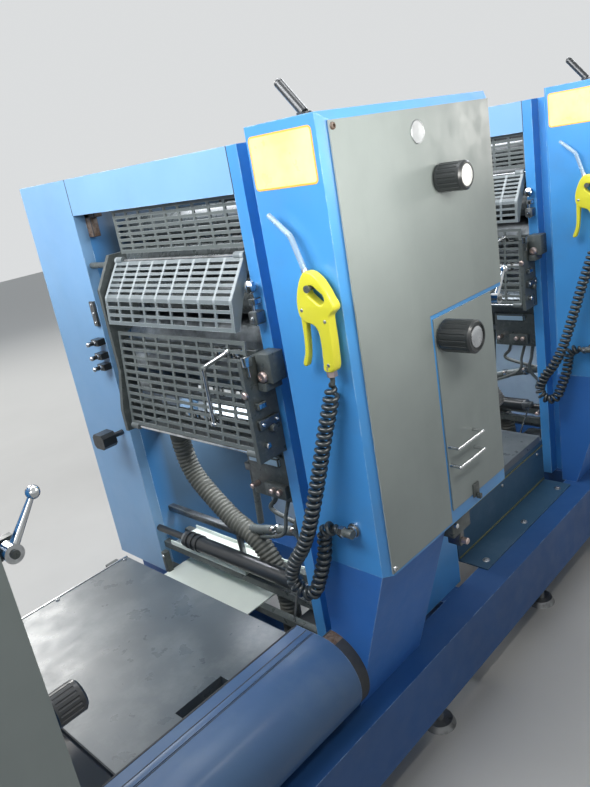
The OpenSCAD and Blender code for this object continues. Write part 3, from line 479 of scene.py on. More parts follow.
def skin(bm, rings, look=0):
    """Closed surface over rings of points, with a flat cap at both ends."""
    rings = [[bm.verts.new(p) for p in ring] for ring in rings]
    faces = [bm.faces.new(rings[0][::-1]), bm.faces.new(rings[-1])]
    count = len(rings[0])
    for low, high in zip(rings, rings[1:]):
        for i in range(count):
            j = (i + 1) % count
            faces.append(bm.faces.new((low[i], low[j], high[j], high[i])))
    for face in faces:
        face.material_index = look
    return faces


def sweep(bm, line, radius, sides=16, look=0):
    """A round tube along line. Radius is one number of millimetres, or one for each point."""
    radii = radius if isinstance(radius, list) else [radius] * len(line)
    rings, side = [], None
    for i, place in enumerate(line):
        ahead = (line[min(i + 1, len(line) - 1)] - line[max(i - 1, 0)]).normalized()
        side = side or ahead.orthogonal()
        side = (side - ahead * side.dot(ahead)).normalized()
        up = ahead.cross(side)
        turns = [2 * math.pi * s / sides for s in range(sides)]
        rings.append([place + radii[i] * MM * (math.cos(a) * side + math.sin(a) * up) for a in turns])
    return skin(bm, rings, look)


def facing(place, axis):
    """A placing at a point whose Z looks along axis."""
    return Matrix.Translation(place) @ Vector(axis).to_track_quat("Z", "Y").to_matrix().to_4x4()


def lathe(bm, placing, profile, sides=32, look=0):
    """A turned shape: profile is radius and height in millimetres, from its foot to its top."""
    turns = [2 * math.pi * s / sides for s in range(sides)]
    rings = [[placing @ Vector((r * MM * math.cos(a), r * MM * math.sin(a), h * MM)) for a in turns]
             for r, h in profile]
    return skin(bm, rings, look)


def rounded_box(bm, k, low, high, edge=1.0, look=0):
    """A box of unit k between two corners, its edges rounded by edge millimetres."""
    (x0, y0, z0), (x1, y1, z1) = low, high
    rings = [[at(k, x, y, z) for x, y in ((x0, y0), (x1, y0), (x1, y1), (x0, y1))] for z in (z0, z1)]
    faces = skin(bm, rings, look)
    edges = list({e for f in faces for e in f.edges})
    bmesh.ops.bevel(bm, geom=edges, offset=edge * MM, segments=2, profile=0.5, affect="EDGES")


def clearance(outline, p):
    """Distance from p to the nearest side of a closed outline."""
    nearest = math.inf
    for a, b in zip(outline, outline[1:] + outline[:1]):
        side = b - a
        share = max(0, min(1, (p - a).dot(side) / side.length_squared))
        nearest = min(nearest, (p - a - share * side).length)
    return nearest


def inset(outline, depth):
    """A closed anticlockwise outline moved inwards by depth, less the points that come too near a side."""
    made = []
    for i, p in enumerate(outline):
        way = (outline[(i + 1) % len(outline)] - outline[i - 1]).normalized()
        moved = p + depth * Vector((-way.y, way.x))
        if clearance(outline, moved) > 0.9 * abs(depth):
            made.append(moved)
    return made


def anticlockwise(points):
    points = [Vector(p) for p in points]
    area = sum(a.x * b.y - b.x * a.y for a, b in zip(points, points[1:] + points[:1]))
    return points if area > 0 else points[::-1]


def smooth_loop(points, steps):
    """A closed smooth outline through points."""
    points = anticlockwise(points)
    return spline(points[-2:] + points + points[:3], steps)[2 * steps:(len(points) + 2) * steps]


def rounded_outline(x0, y0, x1, y1, r, steps=6):
    """A rectangle with rounded corners, anticlockwise."""
    made = []
    for cx, cy, start in ((x1 - r, y1 - r, 0), (x0 + r, y1 - r, 90),
                          (x0 + r, y0 + r, 180), (x1 - r, y0 + r, 270)):
        for s in range(steps + 1):
            a = math.radians(start + 90 * s / steps)
            made.append(Vector((cx + r * math.cos(a), cy + r * math.sin(a))))
    return made


def moulded(bm, placing, outline, holes, thickness, edge, look=0):
    """A flat moulding: outline and holes in millimetres, its edges rounded by edge millimetres."""
    curve = bpy.data.curves.new("outline", "CURVE")
    curve.dimensions = "2D"
    curve.fill_mode = "BOTH"
    curve.extrude = (thickness / 2 - edge) * MM
    curve.bevel_depth = edge * MM
    curve.bevel_resolution = 3
    for loop in [inset(outline, edge)] + [inset(hole, -edge)[::-1] for hole in holes]:
        line = curve.splines.new("POLY")
        line.points.add(len(loop) - 1)
        for point, p in zip(line.points, loop):
            point.co = (p.x * MM, p.y * MM, 0, 1)
        line.use_cyclic_u = True
    holder = bpy.data.objects.new("outline", curve)
    scene.collection.objects.link(holder)
    mesh = bpy.data.meshes.new_from_object(holder.evaluated_get(bpy.context.evaluated_depsgraph_get()))
    mesh.transform(placing)
    first = len(bm.faces)
    bm.from_mesh(mesh)
    bm.faces.ensure_lookup_table()
    for face in bm.faces[first:]:
        face.material_index = look
    bpy.data.objects.remove(holder)
    bpy.data.curves.remove(curve)
    bpy.data.meshes.remove(mesh)
    bmesh.ops.remove_doubles(bm, verts=bm.verts, dist=0.01 * MM)


def bolt(bm, place, axis, r=7, look=0):
    """A hexagon head with a chamfered top, on a washer."""
    placing = facing(place, axis)
    lathe(bm, placing, [(1.9 * r, -0.5), (1.9 * r, 1.1), (1.75 * r, 1.5)], 24, look)
    lathe(bm, placing, [(1.15 * r, 0.5), (1.15 * r, 0.9 * r), (0.98 * r, 1.05 * r)], 6, look)


def screw(bm, place, axis, r=6, look=0):
    """A round screw head with a socket."""
    lathe(bm, facing(place, axis), [(r, -0.5), (r, 0.25 * r), (0.8 * r, 0.55 * r), (0.45 * r, 0.6 * r),
                                    (0.4 * r, 0.1 * r)], 20, look)


def turned_rod(bm, start, end, r, look=0, sides=20):
    """A round bar between two points, its ends chamfered."""
    reach = (end - start).length / MM
    edge = min(0.3 * r, 0.2 * reach)
    lathe(bm, facing(start, end - start), [(r - edge, 0), (r, edge), (r, reach - edge), (r - edge, reach)],
          sides, look)


def piece(name, bm, looks, body, crease=38):
    """Makes the bmesh an object with its materials; it rides on a body."""
    bmesh.ops.recalc_face_normals(bm, faces=bm.faces)
    for face in bm.faces:
        face.smooth = True
    for edge in bm.edges:
        edge.smooth = len(edge.link_faces) == 2 and edge.calc_face_angle() < math.radians(crease)
    mesh = bpy.data.meshes.new(name)
    bm.to_mesh(mesh)
    bm.free()
    for look in looks:
        mesh.materials.append(look)
    made = bpy.data.objects.new(name, mesh)
    scene.collection.objects.link(made)
    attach(made, body)
    return made


# Coiled air hoses: each is a tube wound as a helix along the route of its CAD solid, from the gun to
# the port on the cover. The tube's own sizes are in metres.
COIL_ROUTE = (
    (-20, 56, 1114), (-21, 61, 1090), (-24, 72, 1055), (-30, 90, 1000), (-38, 112, 925),
    (-48, 134, 850), (-56, 156, 785), (-58, 186, 730), (-57, 218, 688), (-54, 238, 645),
    (-49, 231, 615), (-44, 209, 603), (-38, 187, 614), (-34, 176, 640), (-28, 164, 675),
    (-23, 154, 710), (-20, 150, 745), (-20, 142, 769), (-20, 122, 780), HOSE_PORT)
HOSE_LENGTH = 3.75
HOSE_D = 0.0105
COIL_MIDDLE_R = 0.01175
COIL_RUN_IN = 0.024
POINTS_A_TURN = 14


def air_hose(k):
    line = spline([at(k, *p) for p in reversed(COIL_ROUTE)], 20)
    route = length_of(line)
    turns = math.sqrt(HOSE_LENGTH ** 2 - route ** 2) / (2 * math.pi * COIL_MIDDLE_R)
    count = int(turns * POINTS_A_TURN)
    distances = [route * i / count for i in range(count + 1)]
    points = []
    for i, (place, ahead) in enumerate(along(line, distances)):
        side = (Vector((1, 0, 0)) - ahead * ahead.x).normalized()
        up = ahead.cross(side)
        angle = 2 * math.pi * i / POINTS_A_TURN
        reach = COIL_MIDDLE_R * min(1, distances[i] / COIL_RUN_IN, (route - distances[i]) / COIL_RUN_IN)
        points.append(place + reach * (math.cos(angle) * side + math.sin(angle) * up))
    curve = bpy.data.curves.new(f"coiled_air_hose_{k}", "CURVE")
    curve.dimensions = "3D"
    curve.bevel_depth = HOSE_D / 2
    curve.bevel_resolution = 2
    curve.use_fill_caps = True
    tube = curve.splines.new("POLY")
    tube.points.add(len(points) - 1)
    for point, p in zip(tube.points, points):
        point.co = (*p, 1)
    curve.materials.append(COIL)
    hose = bpy.data.objects.new(f"coiled_air_hose_{k}", curve)
    scene.collection.objects.link(hose)
    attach(hose, PRESS)
    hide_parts(f"air_hose_{k}")


for k in UNITS:
    air_hose(k)


# Ribbed suction hoses, which hang from the far frame down to the base
SUCTION_X = 98
SUCTION_ROUTE = ((779, 870), (779, 804), (749, 720), (631, 622), (517, 560), (455, 434), (455, Z_RAIL))
SUCTION_R = 28
RIB_PITCH = 11.5
RIB_DEPTH = 3.6
RING_STEP = RIB_PITCH / 5
CUFF = 34


def suction_hoses():
    bm = bmesh.new()
    for k in UNITS:
        line = spline([at(k, SUCTION_X, y, z) for y, z in SUCTION_ROUTE], 16)
        whole = length_of(line) / MM
        count = int(whole / RING_STEP)
        distances = [whole * i / count for i in range(count + 1)]
        radii = []
        for d in distances:
            rib = 0.5 + 0.5 * math.cos(2 * math.pi * d / RIB_PITCH)
            plain = d < CUFF or d > whole - CUFF
            radii.append(SUCTION_R if plain else SUCTION_R - RIB_DEPTH * (1 - rib ** 0.6))
        sweep(bm, [place for place, _ in along(line, [d * MM for d in distances])], radii, 22)
    made = piece("ribbed_suction_hoses", bm, [HOSE], PRESS, 80)
    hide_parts("suction_hoses")


suction_hoses()


# Air guns: moulded body with a hanging slot, trigger, clear nozzle, hose nut
GUN_PEG = (-20, 64, 1299)
GUN_T = 21
GUN_BODY = ((8, 30), (18, 23), (28, 8), (36, -12), (40, -32), (38, -52), (28, -63), (12, -68), (2, -73),
            (-4, -86), (-5, -110), (-3, -140), (-2, -157), (-12, -161), (-25, -158), (-31, -148), (-33, -124),
            (-34, -98), (-34, -70), (-35, -54), (-41, -47), (-49, -40), (-50, -31), (-44, -20), (-36, -4),
            (-24, 14), (-8, 27))
GUN_TRIGGER = ((31, -50), (38, -54), (39, -80), (40, -105), (44, -128), (52, -147), (50, -154), (42, -151),
               (34, -130), (30, -105), (28, -80), (25, -60))
GUN_SLOT = ((-1, -6.7), (-18, -20), 11)
GUN_EDGE = 3.5
TRIGGER_T = 13
TRIGGER_EDGE = 2.5
NOZZLE = ((12, 22), (34.5, 89), (37.5, 95), (42, 99), (83, 134))
NOZZLE_R = [5.4, 5.4, 5.4, 5.4, 4.8]
GUN_SCREWS = ((29, -42), (-16, -146), (-24, -62))
# Turns a shape drawn flat so that it stands across and up, its thickness towards the rear
STANDING = Matrix(((0, 0, 1, 0), (1, 0, 0, 0), (0, 1, 0, 0), (0, 0, 0, 1)))
GUN_LOOKS = (YELLOW, BLACK_STEEL, CLEAR, ZINC, BRASS)


def capsule(a, b, r, steps=10):
    """Outline of a slot with round ends."""
    a, b = Vector(a), Vector(b)
    way = math.atan2(b.y - a.y, b.x - a.x)
    made = []
    for middle, start in ((b, way - math.pi / 2), (a, way + math.pi / 2)):
        for s in range(steps + 1):
            angle = start + math.pi * s / steps
            made.append(middle + r * Vector((math.cos(angle), math.sin(angle))))
    return made


def air_guns():
    bm = bmesh.new()
    for k in UNITS:
        hung = at(k, *GUN_PEG)
        flat = Matrix.Translation(hung) @ STANDING
        moulded(bm, flat, smooth_loop(GUN_BODY, 5), [capsule(*GUN_SLOT)], GUN_T, GUN_EDGE)
        moulded(bm, flat, smooth_loop(GUN_TRIGGER, 5), [], TRIGGER_T, TRIGGER_EDGE)

        def from_peg(x, y, z):
            return hung + Vector((x, y, z)) * MM

        # Steel ring round the throat where the grip screws on, and the nozzle's collar
        grip_way = Vector((0, 0.06, 1)).normalized()
        lathe(bm, facing(from_peg(0, -13, -172), grip_way),
              [(7, 0), (10.5, 1), (10.5, 12), (9, 13), (9, 15), (11.5, 16), (11.5, 22), (8, 23)], 6, 4)
        nose_way = Vector((0, 22, 67)).normalized()
        lathe(bm, facing(from_peg(0, 11, 20), nose_way), [(7.5, 0), (7.5, 8), (6.5, 11), (6.5, 14)], 24, 3)
        # Clear nozzle: two straight stretches with a tight bend
        sweep(bm, [from_peg(0, y, z) for y, z in NOZZLE], NOZZLE_R, 16, 2)
        tail = spline([from_peg(0, -12, -166), from_peg(0, -11, -178), at(k, -20, 55, 1111)], 6)
        sweep(bm, tail, 5, 14, 1)
        # Screws that hold the two halves of the body together
        for y, z in GUN_SCREWS:
            for side in (-1, 1):
                lathe(bm, facing(from_peg(side * (GUN_T / 2 - 0.6), y, z), (side, 0, 0)),
                      [(3.6, 0), (3.6, 0.8), (2.9, 1.3), (1.2, 1.3), (1.2, 0.7)], 16, 3)
    made = piece("moulded_air_guns", bm, GUN_LOOKS, PRESS)
    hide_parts("air_guns")


air_guns()


# Bare label plates, badges and caps
LABEL_LOW = (30, 1475)
LABEL_HIGH = (187, 1572)
LABEL_CORNER = 9
LABEL_BORDER = 3.5
BADGE = (267, 0, 1530)


def plates():
    bm = bmesh.new()
    for k in UNITS:
        # The orange film lies under the yellow one and shows as its border
        for edge, low, high, look in ((0, 0.0, 0.5, 1), (LABEL_BORDER, 0.3, 0.8, 0)):
            (y0, z0), (y1, z1) = LABEL_LOW, LABEL_HIGH
            outline = rounded_outline(y0 + edge, z0 + edge, y1 - edge, z1 - edge, LABEL_CORNER - edge)
            skin(bm, [[at(k, -h, p.x, p.y) for p in outline] for h in (low, high)], look)
    piece("bare_warning_plates", bm, [LABEL, ORANGE], PRESS)
    bm = bmesh.new()
    for k in UNITS:
        lathe(bm, facing(at(k, *BADGE), (0, -1, 0)),
              [(22.5, 0), (22.5, 1.2), (21.6, 2), (20.4, 2), (19.8, 1.4)], 48)
    piece("bare_round_badges", bm, [ZINC], PRESS)
    for k in UNITS:
        for name, (x, z), y, r, look, slot in (("upper", UPPER_KNOB, -63, 21, WHITE, "tray_ivory"),
                                               ("lower", LOWER_KNOB, -78, 22, ALUMINIUM, "bare_steel")):
            bm = bmesh.new()
            lathe(bm, facing(at(k, x, y, z), (0, -1, 0)), [(r, -0.4), (r, 1.1), (r - 0.8, 1.6)], 40)
            piece(f"{name}_knob_cap_{k}", bm, [look], f"{name}_knob_{k}")


plates()


# Small fittings that the photo shows on the operator's side of the opening

def near_carrier_fittings():
    bm = bmesh.new()
    # Pieces on the carrier's outer face reach 1 mm into it
    seat = Y_CARRIER + 1
    for k in UNITS:
        # Black block on the frame's front, with its worn boss and the stub below it
        rounded_box(bm, k, (-14, 226, 1092), (X_FRAME, 269, 1156), 3, 0)
        rounded_box(bm, k, (-20, 244, 1074), (X_FRAME, 269, 1093), 2.5, 0)
        rounded_box(bm, k, (-10, 252, 1100), (24, Y_CARRIER + 0.5, 1148), 2, 0)
        lathe(bm, facing(at(k, -14, 252, 1106), (-1, 0, 0)),
              [(12, -1), (12, 5), (10, 8), (5, 9), (4, 6)], 28, 1)
        lathe(bm, facing(at(k, -50, 277, 1074), (-1, 0, 0)), [(8, 0), (8, 5), (6, 7)], 24, 1)
        rounded_box(bm, k, (-51, 258, 1136), (-30, seat, 1158), 1.5, 2)
        rounded_box(bm, k, (-44, 262, 1112), (-38, seat, 1140), 1.5, 2)
        rounded_box(bm, k, (-38, 258, 1036), (-12, seat, 1052), 3, 2)
        turned_rod(bm, at(k, -27, seat, 951), at(k, -27, 259, 951), 7, 2)
        turned_rod(bm, at(k, -4, seat, 985), at(k, -4, 256, 985), 9, 0)
        rounded_box(bm, k, (-40, 262, 990), (20, seat, 1012), 2, 3)
        for x in (-30, 10):
            screw(bm, at(k, x, 262, 1001), (0, -1, 0), 5, 2)
        # Catch, spring and hinge end beside the ink guard's cheek, on the frame's front
        lathe(bm, facing(at(k, X_FRAME, Y_CARRIER, 1288), (-1, -0.1, 0.15)),
              [(7, -1), (7, 9), (12, 12), (15, 19), (12, 26), (5, 29)], 28, 2)
        rounded_box(bm, k, (8, 262, 1252), (X_FRAME, 280, 1266), 2, 2)
        rounded_box(bm, k, (2, 258, 1212), (X_FRAME, 282, 1240), 3, 3)
        turned_rod(bm, at(k, 12, 270, 1208), at(k, 12, 270, 1262), 4, 2)
        screw(bm, at(k, 2, 270, 1226), (-1, 0, 0), 5, 2)
    piece("near_carrier_fittings", bm, [BLACK_STEEL, BRASS, CHROME, STEEL], PRESS)


# Each clamp bar: its height, the front of its clamps, where they start and stop, and their material
CLAMP_BARS = ((1056, -19, 300, 500, 2), (1146, -9, 320, 430, 1), (982, -27, 400, 560, 1))
CLAMP_BAR_ENDS = (282, 786)
CLAMP_PITCH = 31
CLAMP_W = 26


def plate_clamps():
    """Bars behind the plate guard: their pale clamps are what glints through its slots, and the white ones on
    the middle bar are a painted highlight for the brightest glints.
    """
    bm = bmesh.new()
    near, far = CLAMP_BAR_ENDS
    for k in UNITS:
        for z, front, first, last, look in CLAMP_BARS:
            rounded_box(bm, k, (front + 11, near, z - 11), (front + 25, far, z + 9), 1.5, 0)
            for y in range(first, last - CLAMP_W + 1, CLAMP_PITCH):
                rounded_box(bm, k, (front, y, z - 10), (front + 12, y + CLAMP_W, z + 12), 2, look)
    piece("plate_clamp_bars", bm, [BLACK_STEEL, CHROME, WHITE], PRESS)


# The grab handle's line is in the plate guard's own plane: out from its sheet, across it and up it
GUARD_FOOT = (-40, 291, 935)
GUARD_LEAN = math.radians(6)
GRAB_HANDLE = ((2, 58.3, 221.8), (-39, 88.7, 195.9), (-44, 92.1, 191.9), (-43.6, 93.8, 187.5), (2, 139, 44.8))


def grab_handles():
    """Chromed wire handle on each plate guard, over the plain one of the solids."""
    for k in UNITS:
        line = []
        for x, y, z in GRAB_HANDLE:
            back = x * math.cos(GUARD_LEAN) + z * math.sin(GUARD_LEAN)
            up = z * math.cos(GUARD_LEAN) - x * math.sin(GUARD_LEAN)
            line.append(at(k, GUARD_FOOT[0] + back, GUARD_FOOT[1] + y, GUARD_FOOT[2] + up))
        bm = bmesh.new()
        sweep(bm, line, [4.8, 4.8, 5.2, 4.8, 4.8], 16)
        for end, ahead in ((line[0], line[1] - line[0]), (line[-1], line[-2] - line[-1])):
            lathe(bm, facing(end, ahead), [(8, -1), (8, 5), (6, 7)], 20)
        piece(f"grab_handle_{k}", bm, [CHROME], f"plate_guard_{k}")


# The cross tube that the trays hang under
TUBE_X = 45
TUBE_Z = 530


def under_guard_fittings():
    bm = bmesh.new()
    for k in UNITS:
        # Valve block hung on the tie bar, with its pale pad and its stem
        rounded_box(bm, k, (60, 300, 752), (118, 452, 872), 4, 0)
        rounded_box(bm, k, (52, 336, 846), (62, 440, 868), 3, 4)
        rounded_box(bm, k, (46, 322, 766), (62, 392, 800), 3, 0)
        for y in (338, 362, 428):
            turned_rod(bm, at(k, 61, y, 786), at(k, 34, y, 786), 7, 2)
        turned_rod(bm, at(k, 88, 470, 874), at(k, 88, 488, 640), 9, 0)
        rounded_box(bm, k, (76, 445, 800), (100, 492, 822), 3, 3)
        # Bent air lines from the block to the frame and the suction hose
        for start, dip, end, r in (((80, 320, 756), (64, 330, 660), (78, 284, 600), 6),
                                   ((80, 350, 756), (56, 372, 655), (92, 505, 590), 5),
                                   ((100, 410, 756), (90, 430, 690), (100, 284, 655), 6)):
            middle = [(a + b) / 2 for a, b in zip(start, dip)]
            sweep(bm, spline([at(k, *p) for p in (start, middle, dip, end)], 10), r, 12, 0)
        # Tube with two chrome clamps that joins the suction hose
        turned_rod(bm, at(k, 98, 284, 664), at(k, 98, 560, 596), 13, 0)
        for y, z in ((440, 625.6), (362, 644.8)):
            turned_rod(bm, at(k, 98, y - 8, z + 2), at(k, 98, y + 8, z - 2), 16, 1, 28)
            rounded_box(bm, k, (76, y - 7, z + 8), (92, y + 7, z + 19), 1.5, 1)
            screw(bm, at(k, 76, y, z + 13), (-1, 0, 0), 4.5, 2)
        # Brass elbow on the frame's inner face, thin rod, and the dusty bar
        lathe(bm, facing(at(k, 62, Y_OPEN, 507), (0, 1, 0)), [(12, -1), (12, 6), (9, 7), (9, 15)], 6, 2)
        turned_rod(bm, at(k, 62, 298, 507), at(k, 28, 298, 507), 7, 2)
        turned_rod(bm, at(k, 28, 322, 540), at(k, 48, 394, 366), 3, 1)
        rounded_box(bm, k, (20, 314, 532), (46, 350, 548), 2, 3)
        rounded_box(bm, k, (92, 600, 564), (112, Y_FAR + 1, 582), 2, 3)
        rounded_box(bm, k, (94, 604, 500), (108, 618, 566), 2, 3)
        for y in (344, 786):
            turned_rod(bm, at(k, TUBE_X, y - 5, TUBE_Z), at(k, TUBE_X, y + 5, TUBE_Z), 23.4, 3, 36)
        # Bright weld and clip at the trays' far ends
        rounded_box(bm, k, (12, 880, 400), (30, 900, 470), 2, 0)
        screw(bm, at(k, 12, 890, 458), (-1, 0, 0), 5, 1)
    piece("air_and_suction_fittings", bm, [BLACK_STEEL, CHROME, BRASS, STEEL, PALE_BLUE], PRESS)


near_carrier_fittings()
plate_clamps()
grab_handles()
under_guard_fittings()


# The rolled nosing stands before unit 2 and the flat riser before unit 3, each from one unit to the next
NOSING_UNIT, RISER_UNIT = 2, 3
NOSING_MIDDLE = (205, 376)
BAY_START, BAY_END = -618, -32
BOARD_START, BOARD_END = -541, -54
Z_BOARD = 465
SEAL_STEPS = 60


def step_trims():
    """Rubber seal round the nosing's end, the trims on the board, the nosing and the riser, and black strips
    of painted shade on the nosing.
    """
    bm = bmesh.new()
    middle_y, middle_z = NOSING_MIDDLE
    for start, stop, low, high, look in ((90, 236, 91, 99.2, 0), (93, 112, 98.4, 99.8, 6)):
        rings = []
        for s in range(SEAL_STEPS + 1):
            a = math.radians(start + (stop - start) * s / SEAL_STEPS)
            across, up = math.cos(a), math.sin(a)
            rings.append([at(NOSING_UNIT, x, middle_y + r * across, middle_z + r * up)
                          for x, r in ((-34, low), (0, low), (0, high), (-34, high))])
        skin(bm, rings, look)
    # Strip on top of the nosing between two black lines that are painted shade for its grooves, and a black
    # strip of painted shade in the gap before the board
    rounded_box(bm, NOSING_UNIT, (BAY_START + 2, 233, 475.5), (BAY_END - 2, 250, 477.5), 0.8, 5)
    for y in (229, 252):
        rounded_box(bm, NOSING_UNIT, (BAY_START, y, 475.6), (BAY_END, y + 2, 476.6), 0.3, 0)
    rounded_box(bm, NOSING_UNIT, (BAY_START, 284, 467), (BAY_END, 289, 477), 1, 0)
    # Aluminium edge and dark end of each board, and its screws
    for k, low_y in ((NOSING_UNIT, 291), (RISER_UNIT, 250)):
        rounded_box(bm, k, (BOARD_START, 984, Z_BOARD - 24), (BOARD_END, 991, Z_BOARD + 2), 1, 1)
        rounded_box(bm, k, (BOARD_START - 2, low_y + 1, Z_BOARD - 13),
                    (BOARD_START + 2, 988, Z_BOARD + 1), 0.8, 0)
        for x in (-525, -298, -70):
            screw(bm, at(k, x, 976, Z_BOARD), (0, 0, 1), 6, 2)
    # Edge trims and fixings of the riser
    for z in (418, 288):
        rounded_box(bm, RISER_UNIT, (BAY_START, 251.5, z - 2), (BAY_END, 255, z + 2), 0.8, 3)
    for x in (-580, -330, -75):
        bolt(bm, at(RISER_UNIT, x, 185, 282), (0, 0, 1), 6, 2)
        screw(bm, at(RISER_UNIT, x, 254, 400), (0, -1, 0), 6, 2)
    piece("step_trims", bm, [SEAL, ALUMINIUM, ZINC, OLIVE, BRASS, NOSING, RUST], PRESS)


def cover_fittings():
    bm = bmesh.new()
    for k in UNITS:
        # Block and pin under the lower cover, behind the leg
        rounded_box(bm, k, (253, 8, 636), (330, 62, 680.5), 3, 0)
        turned_rod(bm, at(k, 262, 9, 668), at(k, 262, -1, 668), 6, 1)
        rounded_box(bm, k, (300, 22, 586), (318, 58, 640), 2, 3)
        turned_rod(bm, at(k, 309, 23, 600), at(k, 309, 6, 600), 8, 4)
        # Hook at the door's lower edge
        rounded_box(bm, k, (338, -4, 704), (364, 0.5, 738), 2, 0)
        rounded_box(bm, k, (346, -15, 700), (356, -3, 712), 2, 0)
        # Screws at the panel's corners; the upper one has rusted
        for z, look in ((1563, 5), (698, 1)):
            screw(bm, at(k, 20, 0, z), (0, -1, 0), 6.5, look)
        # Pale bowl behind the door, which the first unit's deeper cover has no room for, and a knob's cap
        if k != 1:
            lathe(bm, facing(at(k, 495, 52, 1062), (1, 0, 0)),
                  [(9, -1), (9, 8), (17, 14), (22, 26), (22, 30), (19, 30), (13, 20)], 36, 6)
        lathe(bm, facing(at(k, *REAR_KNOB), (1, 0, 0)), [(17, -2.5), (17, 0.4), (15.5, 1)], 36, 6)
        # Rear face: rows of bolts down the cover
        for z in (1250, 1405, 1560):
            for y in (42, 178):
                bolt(bm, at(k, X_COVER_END, y, z), (1, 0, 0), 6, 2)
        # Nut and ferrule where the coiled hose is screwed on
        x, y, z = HOSE_PORT
        lathe(bm, facing(at(k, x, y - 12, z), (0, 1, 0)), [(9, 0), (12.5, 1), (12.5, 11), (10, 12)], 6, 1)
        lathe(bm, facing(at(k, x + 14, y - 24, z), (1, 0, 0)),
              [(9, -6), (12, -5), (12, 1), (16, 2), (16, 6)], 24, 1)
    piece("cover_details", bm, [BLACK_STEEL, CHROME, ZINC, STEEL, BRASS, RUST, PALE_BLUE], PRESS)


LATCH_Y = 951
LATCH_HEIGHTS = (1060, 1092, 1132)


def far_post_fittings():
    bm = bmesh.new()
    for k in UNITS:
        # Chromed tips and nuts of the post's three latches
        for z in LATCH_HEIGHTS:
            lathe(bm, facing(at(k, -9, LATCH_Y, z), (-1, 0, 0)),
                  [(4, -3), (6.5, 0), (7, 4), (5, 8), (2, 9.5)], 24, 1)
            lathe(bm, facing(at(k, 6, LATCH_Y, z), (-1, 0, 0)), [(9, -1), (9, 2), (7.5, 3.5)], 6, 1)
        # Steel keeper and catch on the post's inner edge
        rounded_box(bm, k, (22, 930, 1176), (31, 952, 1246), 1.5, 3)
        for z in (1186, 1212, 1236):
            screw(bm, at(k, 22, 941, z), (-1, 0, 0), 5, 1)
        # Corner bracket inside the portal, rusted
        rounded_box(bm, k, (62, 902, 1412), (84, 928, 1474), 2, 2)
        rounded_box(bm, k, (62, 880, 1462), (88, 928, 1476), 2, 2)
        # Seams between the post, the portal and the frame
        for y in (Y_FAR, Y_OPEN):
            rounded_box(bm, k, (X_FRAME - 0.6, y - 1, Z_OPENING), (X_FRAME + 2, y + 1, Z_PORTAL), 0.3, 0)
        # Bolts down the rear of the drive side, and on the rear panel
        for z in (420, 980, 1530):
            for y in (995, 1165):
                bolt(bm, at(k, X_FAR_COVER_END, y, z), (1, 0, 0), 6, 4)
        for z in (310, 670, 1520):
            for y in (310, 606, 902):
                bolt(bm, at(k, X_FRAME_END, y, z), (1, 0, 0), 6, 4)
        for y in (440, 770):
            rounded_box(bm, k, (X_FRAME_END - 1, y, 330), (X_FRAME_END + 7, y + 26, 650), 2, 5)
    piece("far_side_fittings", bm, [SEAL, CHROME, RUST, STEEL, ZINC, BLUE], PRESS)


step_trims()
cover_fittings()
far_post_fittings()


# Materials of the CAD's own pieces

def paint(look, *nodes):
    for node in nodes:
        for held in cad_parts[node].material_slots:
            held.material = look


def each(*names):
    return [f"{name}_{k}" for name in names for k in UNITS]


paint(BLUE, "operator_side_frames", "far_side_frames", "operator_covers", "top_covers")
paint(PORTAL_BLUE_WITH_SHEEN, "far_covers", "portal_beams")
paint(RISER, "step_risers")
paint(NOSING, "step_nosings")
paint(POWDERED_AND_LIT_BLUE, "rear_cross_panels")
paint(DEEP_BLUE, "operator_base_rail", "far_base_rail", "base_cross_members")
paint(LEG_BLUE, "operator_leg_covers", "far_leg_covers")
paint(GREY, "grey_panels", "door_panels")
paint(BOARD, "step_boards")
paint(GUARD, "upper_grilles", *each("plate_guard"))
paint(REAR_GUARD, "rear_guards")
paint(INK_GUARD, *each("ink_guard"))
paint(BLACK_STEEL, "step_supports", "guard_carriers", "tie_bars", "tray_bars", "lever_brackets",
      "cover_fittings")
paint(CHROME, "guard_hinge_rods", "door_pulls", *each("throw_lever"))
paint(INKED, "cylinders", "damp_rollers")
paint(ROLLER, "ink_rollers")
paint(KNOB, "cross_tubes", "drain_boxes", "post_latches", "rear_knobs", "top_grips",
      *each("upper_knob", "lower_knob"))
paint(IVORY, "drip_trays")
paint(STEEL, "levelling_feet")


# Floor, background and light

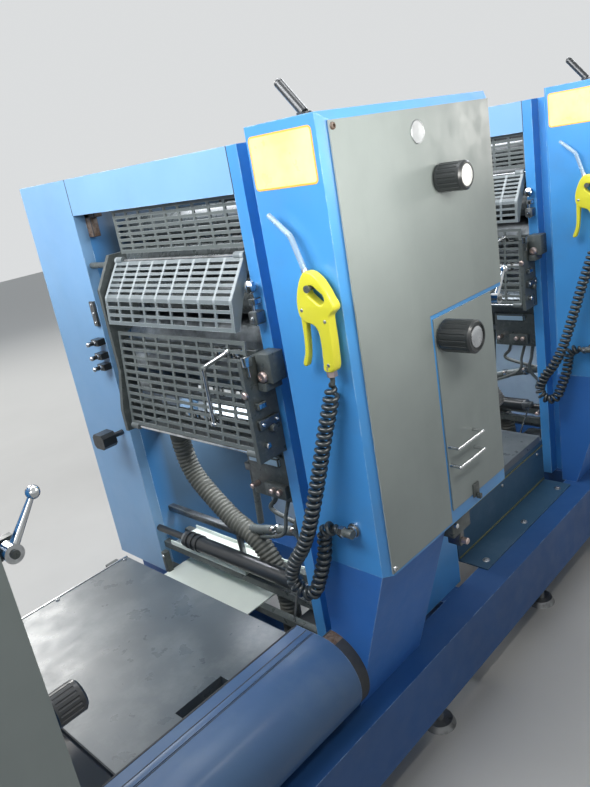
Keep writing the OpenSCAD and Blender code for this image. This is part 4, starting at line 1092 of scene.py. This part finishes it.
def floor_and_world():
    material, tree, shader, where = blank("pale_floor_paint")
    cloud = patches(tree, where, 600, 0.3, 0.7, detail=4)
    # The floor far from the press gets less light, so it is paler there
    out = add(tree, "ShaderNodeVectorMath", {0: where}, operation="LENGTH").outputs["Value"]
    colour = coats(tree, "#B6B4B0", (cloud, "#BEBCB8"), (inside(tree, (out, 2.2, 7)), "#F2F1EE"))
    tree.links.new(colour, shader.inputs["Base Color"])
    shader.inputs["Roughness"].default_value = 0.55
    mesh = bpy.data.meshes.new("floor")
    mesh.from_pydata([(-14, -12, 0), (14, -12, 0), (14, 14, 0), (-14, 14, 0)], [], [(0, 1, 2, 3)])
    mesh.materials.append(material)
    floor = bpy.data.objects.new("floor", mesh)
    scene.collection.objects.link(floor)
    world = bpy.data.worlds.new("studio")
    scene.world = world
    world.use_nodes = True
    tree = world.node_tree
    # A dim bluish hall lights the press, and a paler one is what the camera and bright metals see
    ambient = tree.nodes["Background"]
    ambient.inputs["Color"].default_value = linear("#DDE6EE")
    ambient.inputs["Strength"].default_value = 0.3
    pale = add(tree, "ShaderNodeBackground", {"Color": linear("#E6E8E9"), "Strength": 0.9}).outputs[0]
    ways = add(tree, "ShaderNodeLightPath").outputs
    seen = ways["Is Camera Ray"]
    for way in ("Is Glossy Ray", "Is Transmission Ray"):
        seen = add(tree, "ShaderNodeMath", {0: seen, 1: ways[way]}, operation="MAXIMUM").outputs[0]
    both = add(tree, "ShaderNodeMixShader", {0: seen, 1: ambient.outputs[0], 2: pale}).outputs[0]
    tree.links.new(both, tree.nodes["World Output"].inputs["Surface"])


def light(name, place, aim, size, power, colour="#FFFFFF"):
    data = bpy.data.lights.new(name, "AREA")
    data.shape = "RECTANGLE"
    data.size, data.size_y = size
    data.energy = power
    data.color = linear(colour)[:3]
    made = bpy.data.objects.new(name, data)
    made.location = place
    made.rotation_mode = "QUATERNION"
    made.rotation_quaternion = (Vector(aim) - Vector(place)).to_track_quat("-Z", "Y")
    scene.collection.objects.link(made)


floor_and_world()
# For each unit a soft strip high before its front and a small one before its grey panel's top, so that
# both darken from top to foot as in the photo, and two weak ones inside, for the light that falls in from
# above and behind. The third unit's front and the first one's panel are dimmer, as in the photo.
FRONT_WATTS = {1: 31, 2: 31, 3: 20}
PANEL_WATTS = {1: 1.8, 2: 4.6, 3: 4.6}
for k in UNITS:
    light(f"front_strip_{k}", at(k, -960, 640, 2280), at(k, 60, 600, 850), (1.6, 0.4), FRONT_WATTS[k],
          "#FAFCFF")
    light(f"panel_strip_{k}", at(k, 20, -430, 1520), at(k, 60, 0, 1505), (0.5, 0.2), PANEL_WATTS[k],
          "#FFFCF6")
    light(f"inner_top_{k}", at(k, 300, 606, 1535), at(k, 300, 606, 900), (0.5, 0.36), 3.4, "#F4F8FF")
    light(f"inner_low_{k}", at(k, 190, 606, 862), at(k, 480, 606, 470), (0.6, 0.12), 4.2, "#F4F8FF")
light("overhead", (0.2, 0.2, 4.4), (0.2, 0.2, 0), (4.5, 1.6), 50, "#F7FAFF")
light("rear_fill", (5.0, 1.6, 3.0), (0, 0, 0.9), (2.6, 2.0), 130, "#F4F8FF")
light("window", (0.5, 5.6, 3.9), (-0.6, 0.2, 0.6), (1.8, 1.5), 110, "#FFFEFA")
scene.view_settings.view_transform = "Standard"
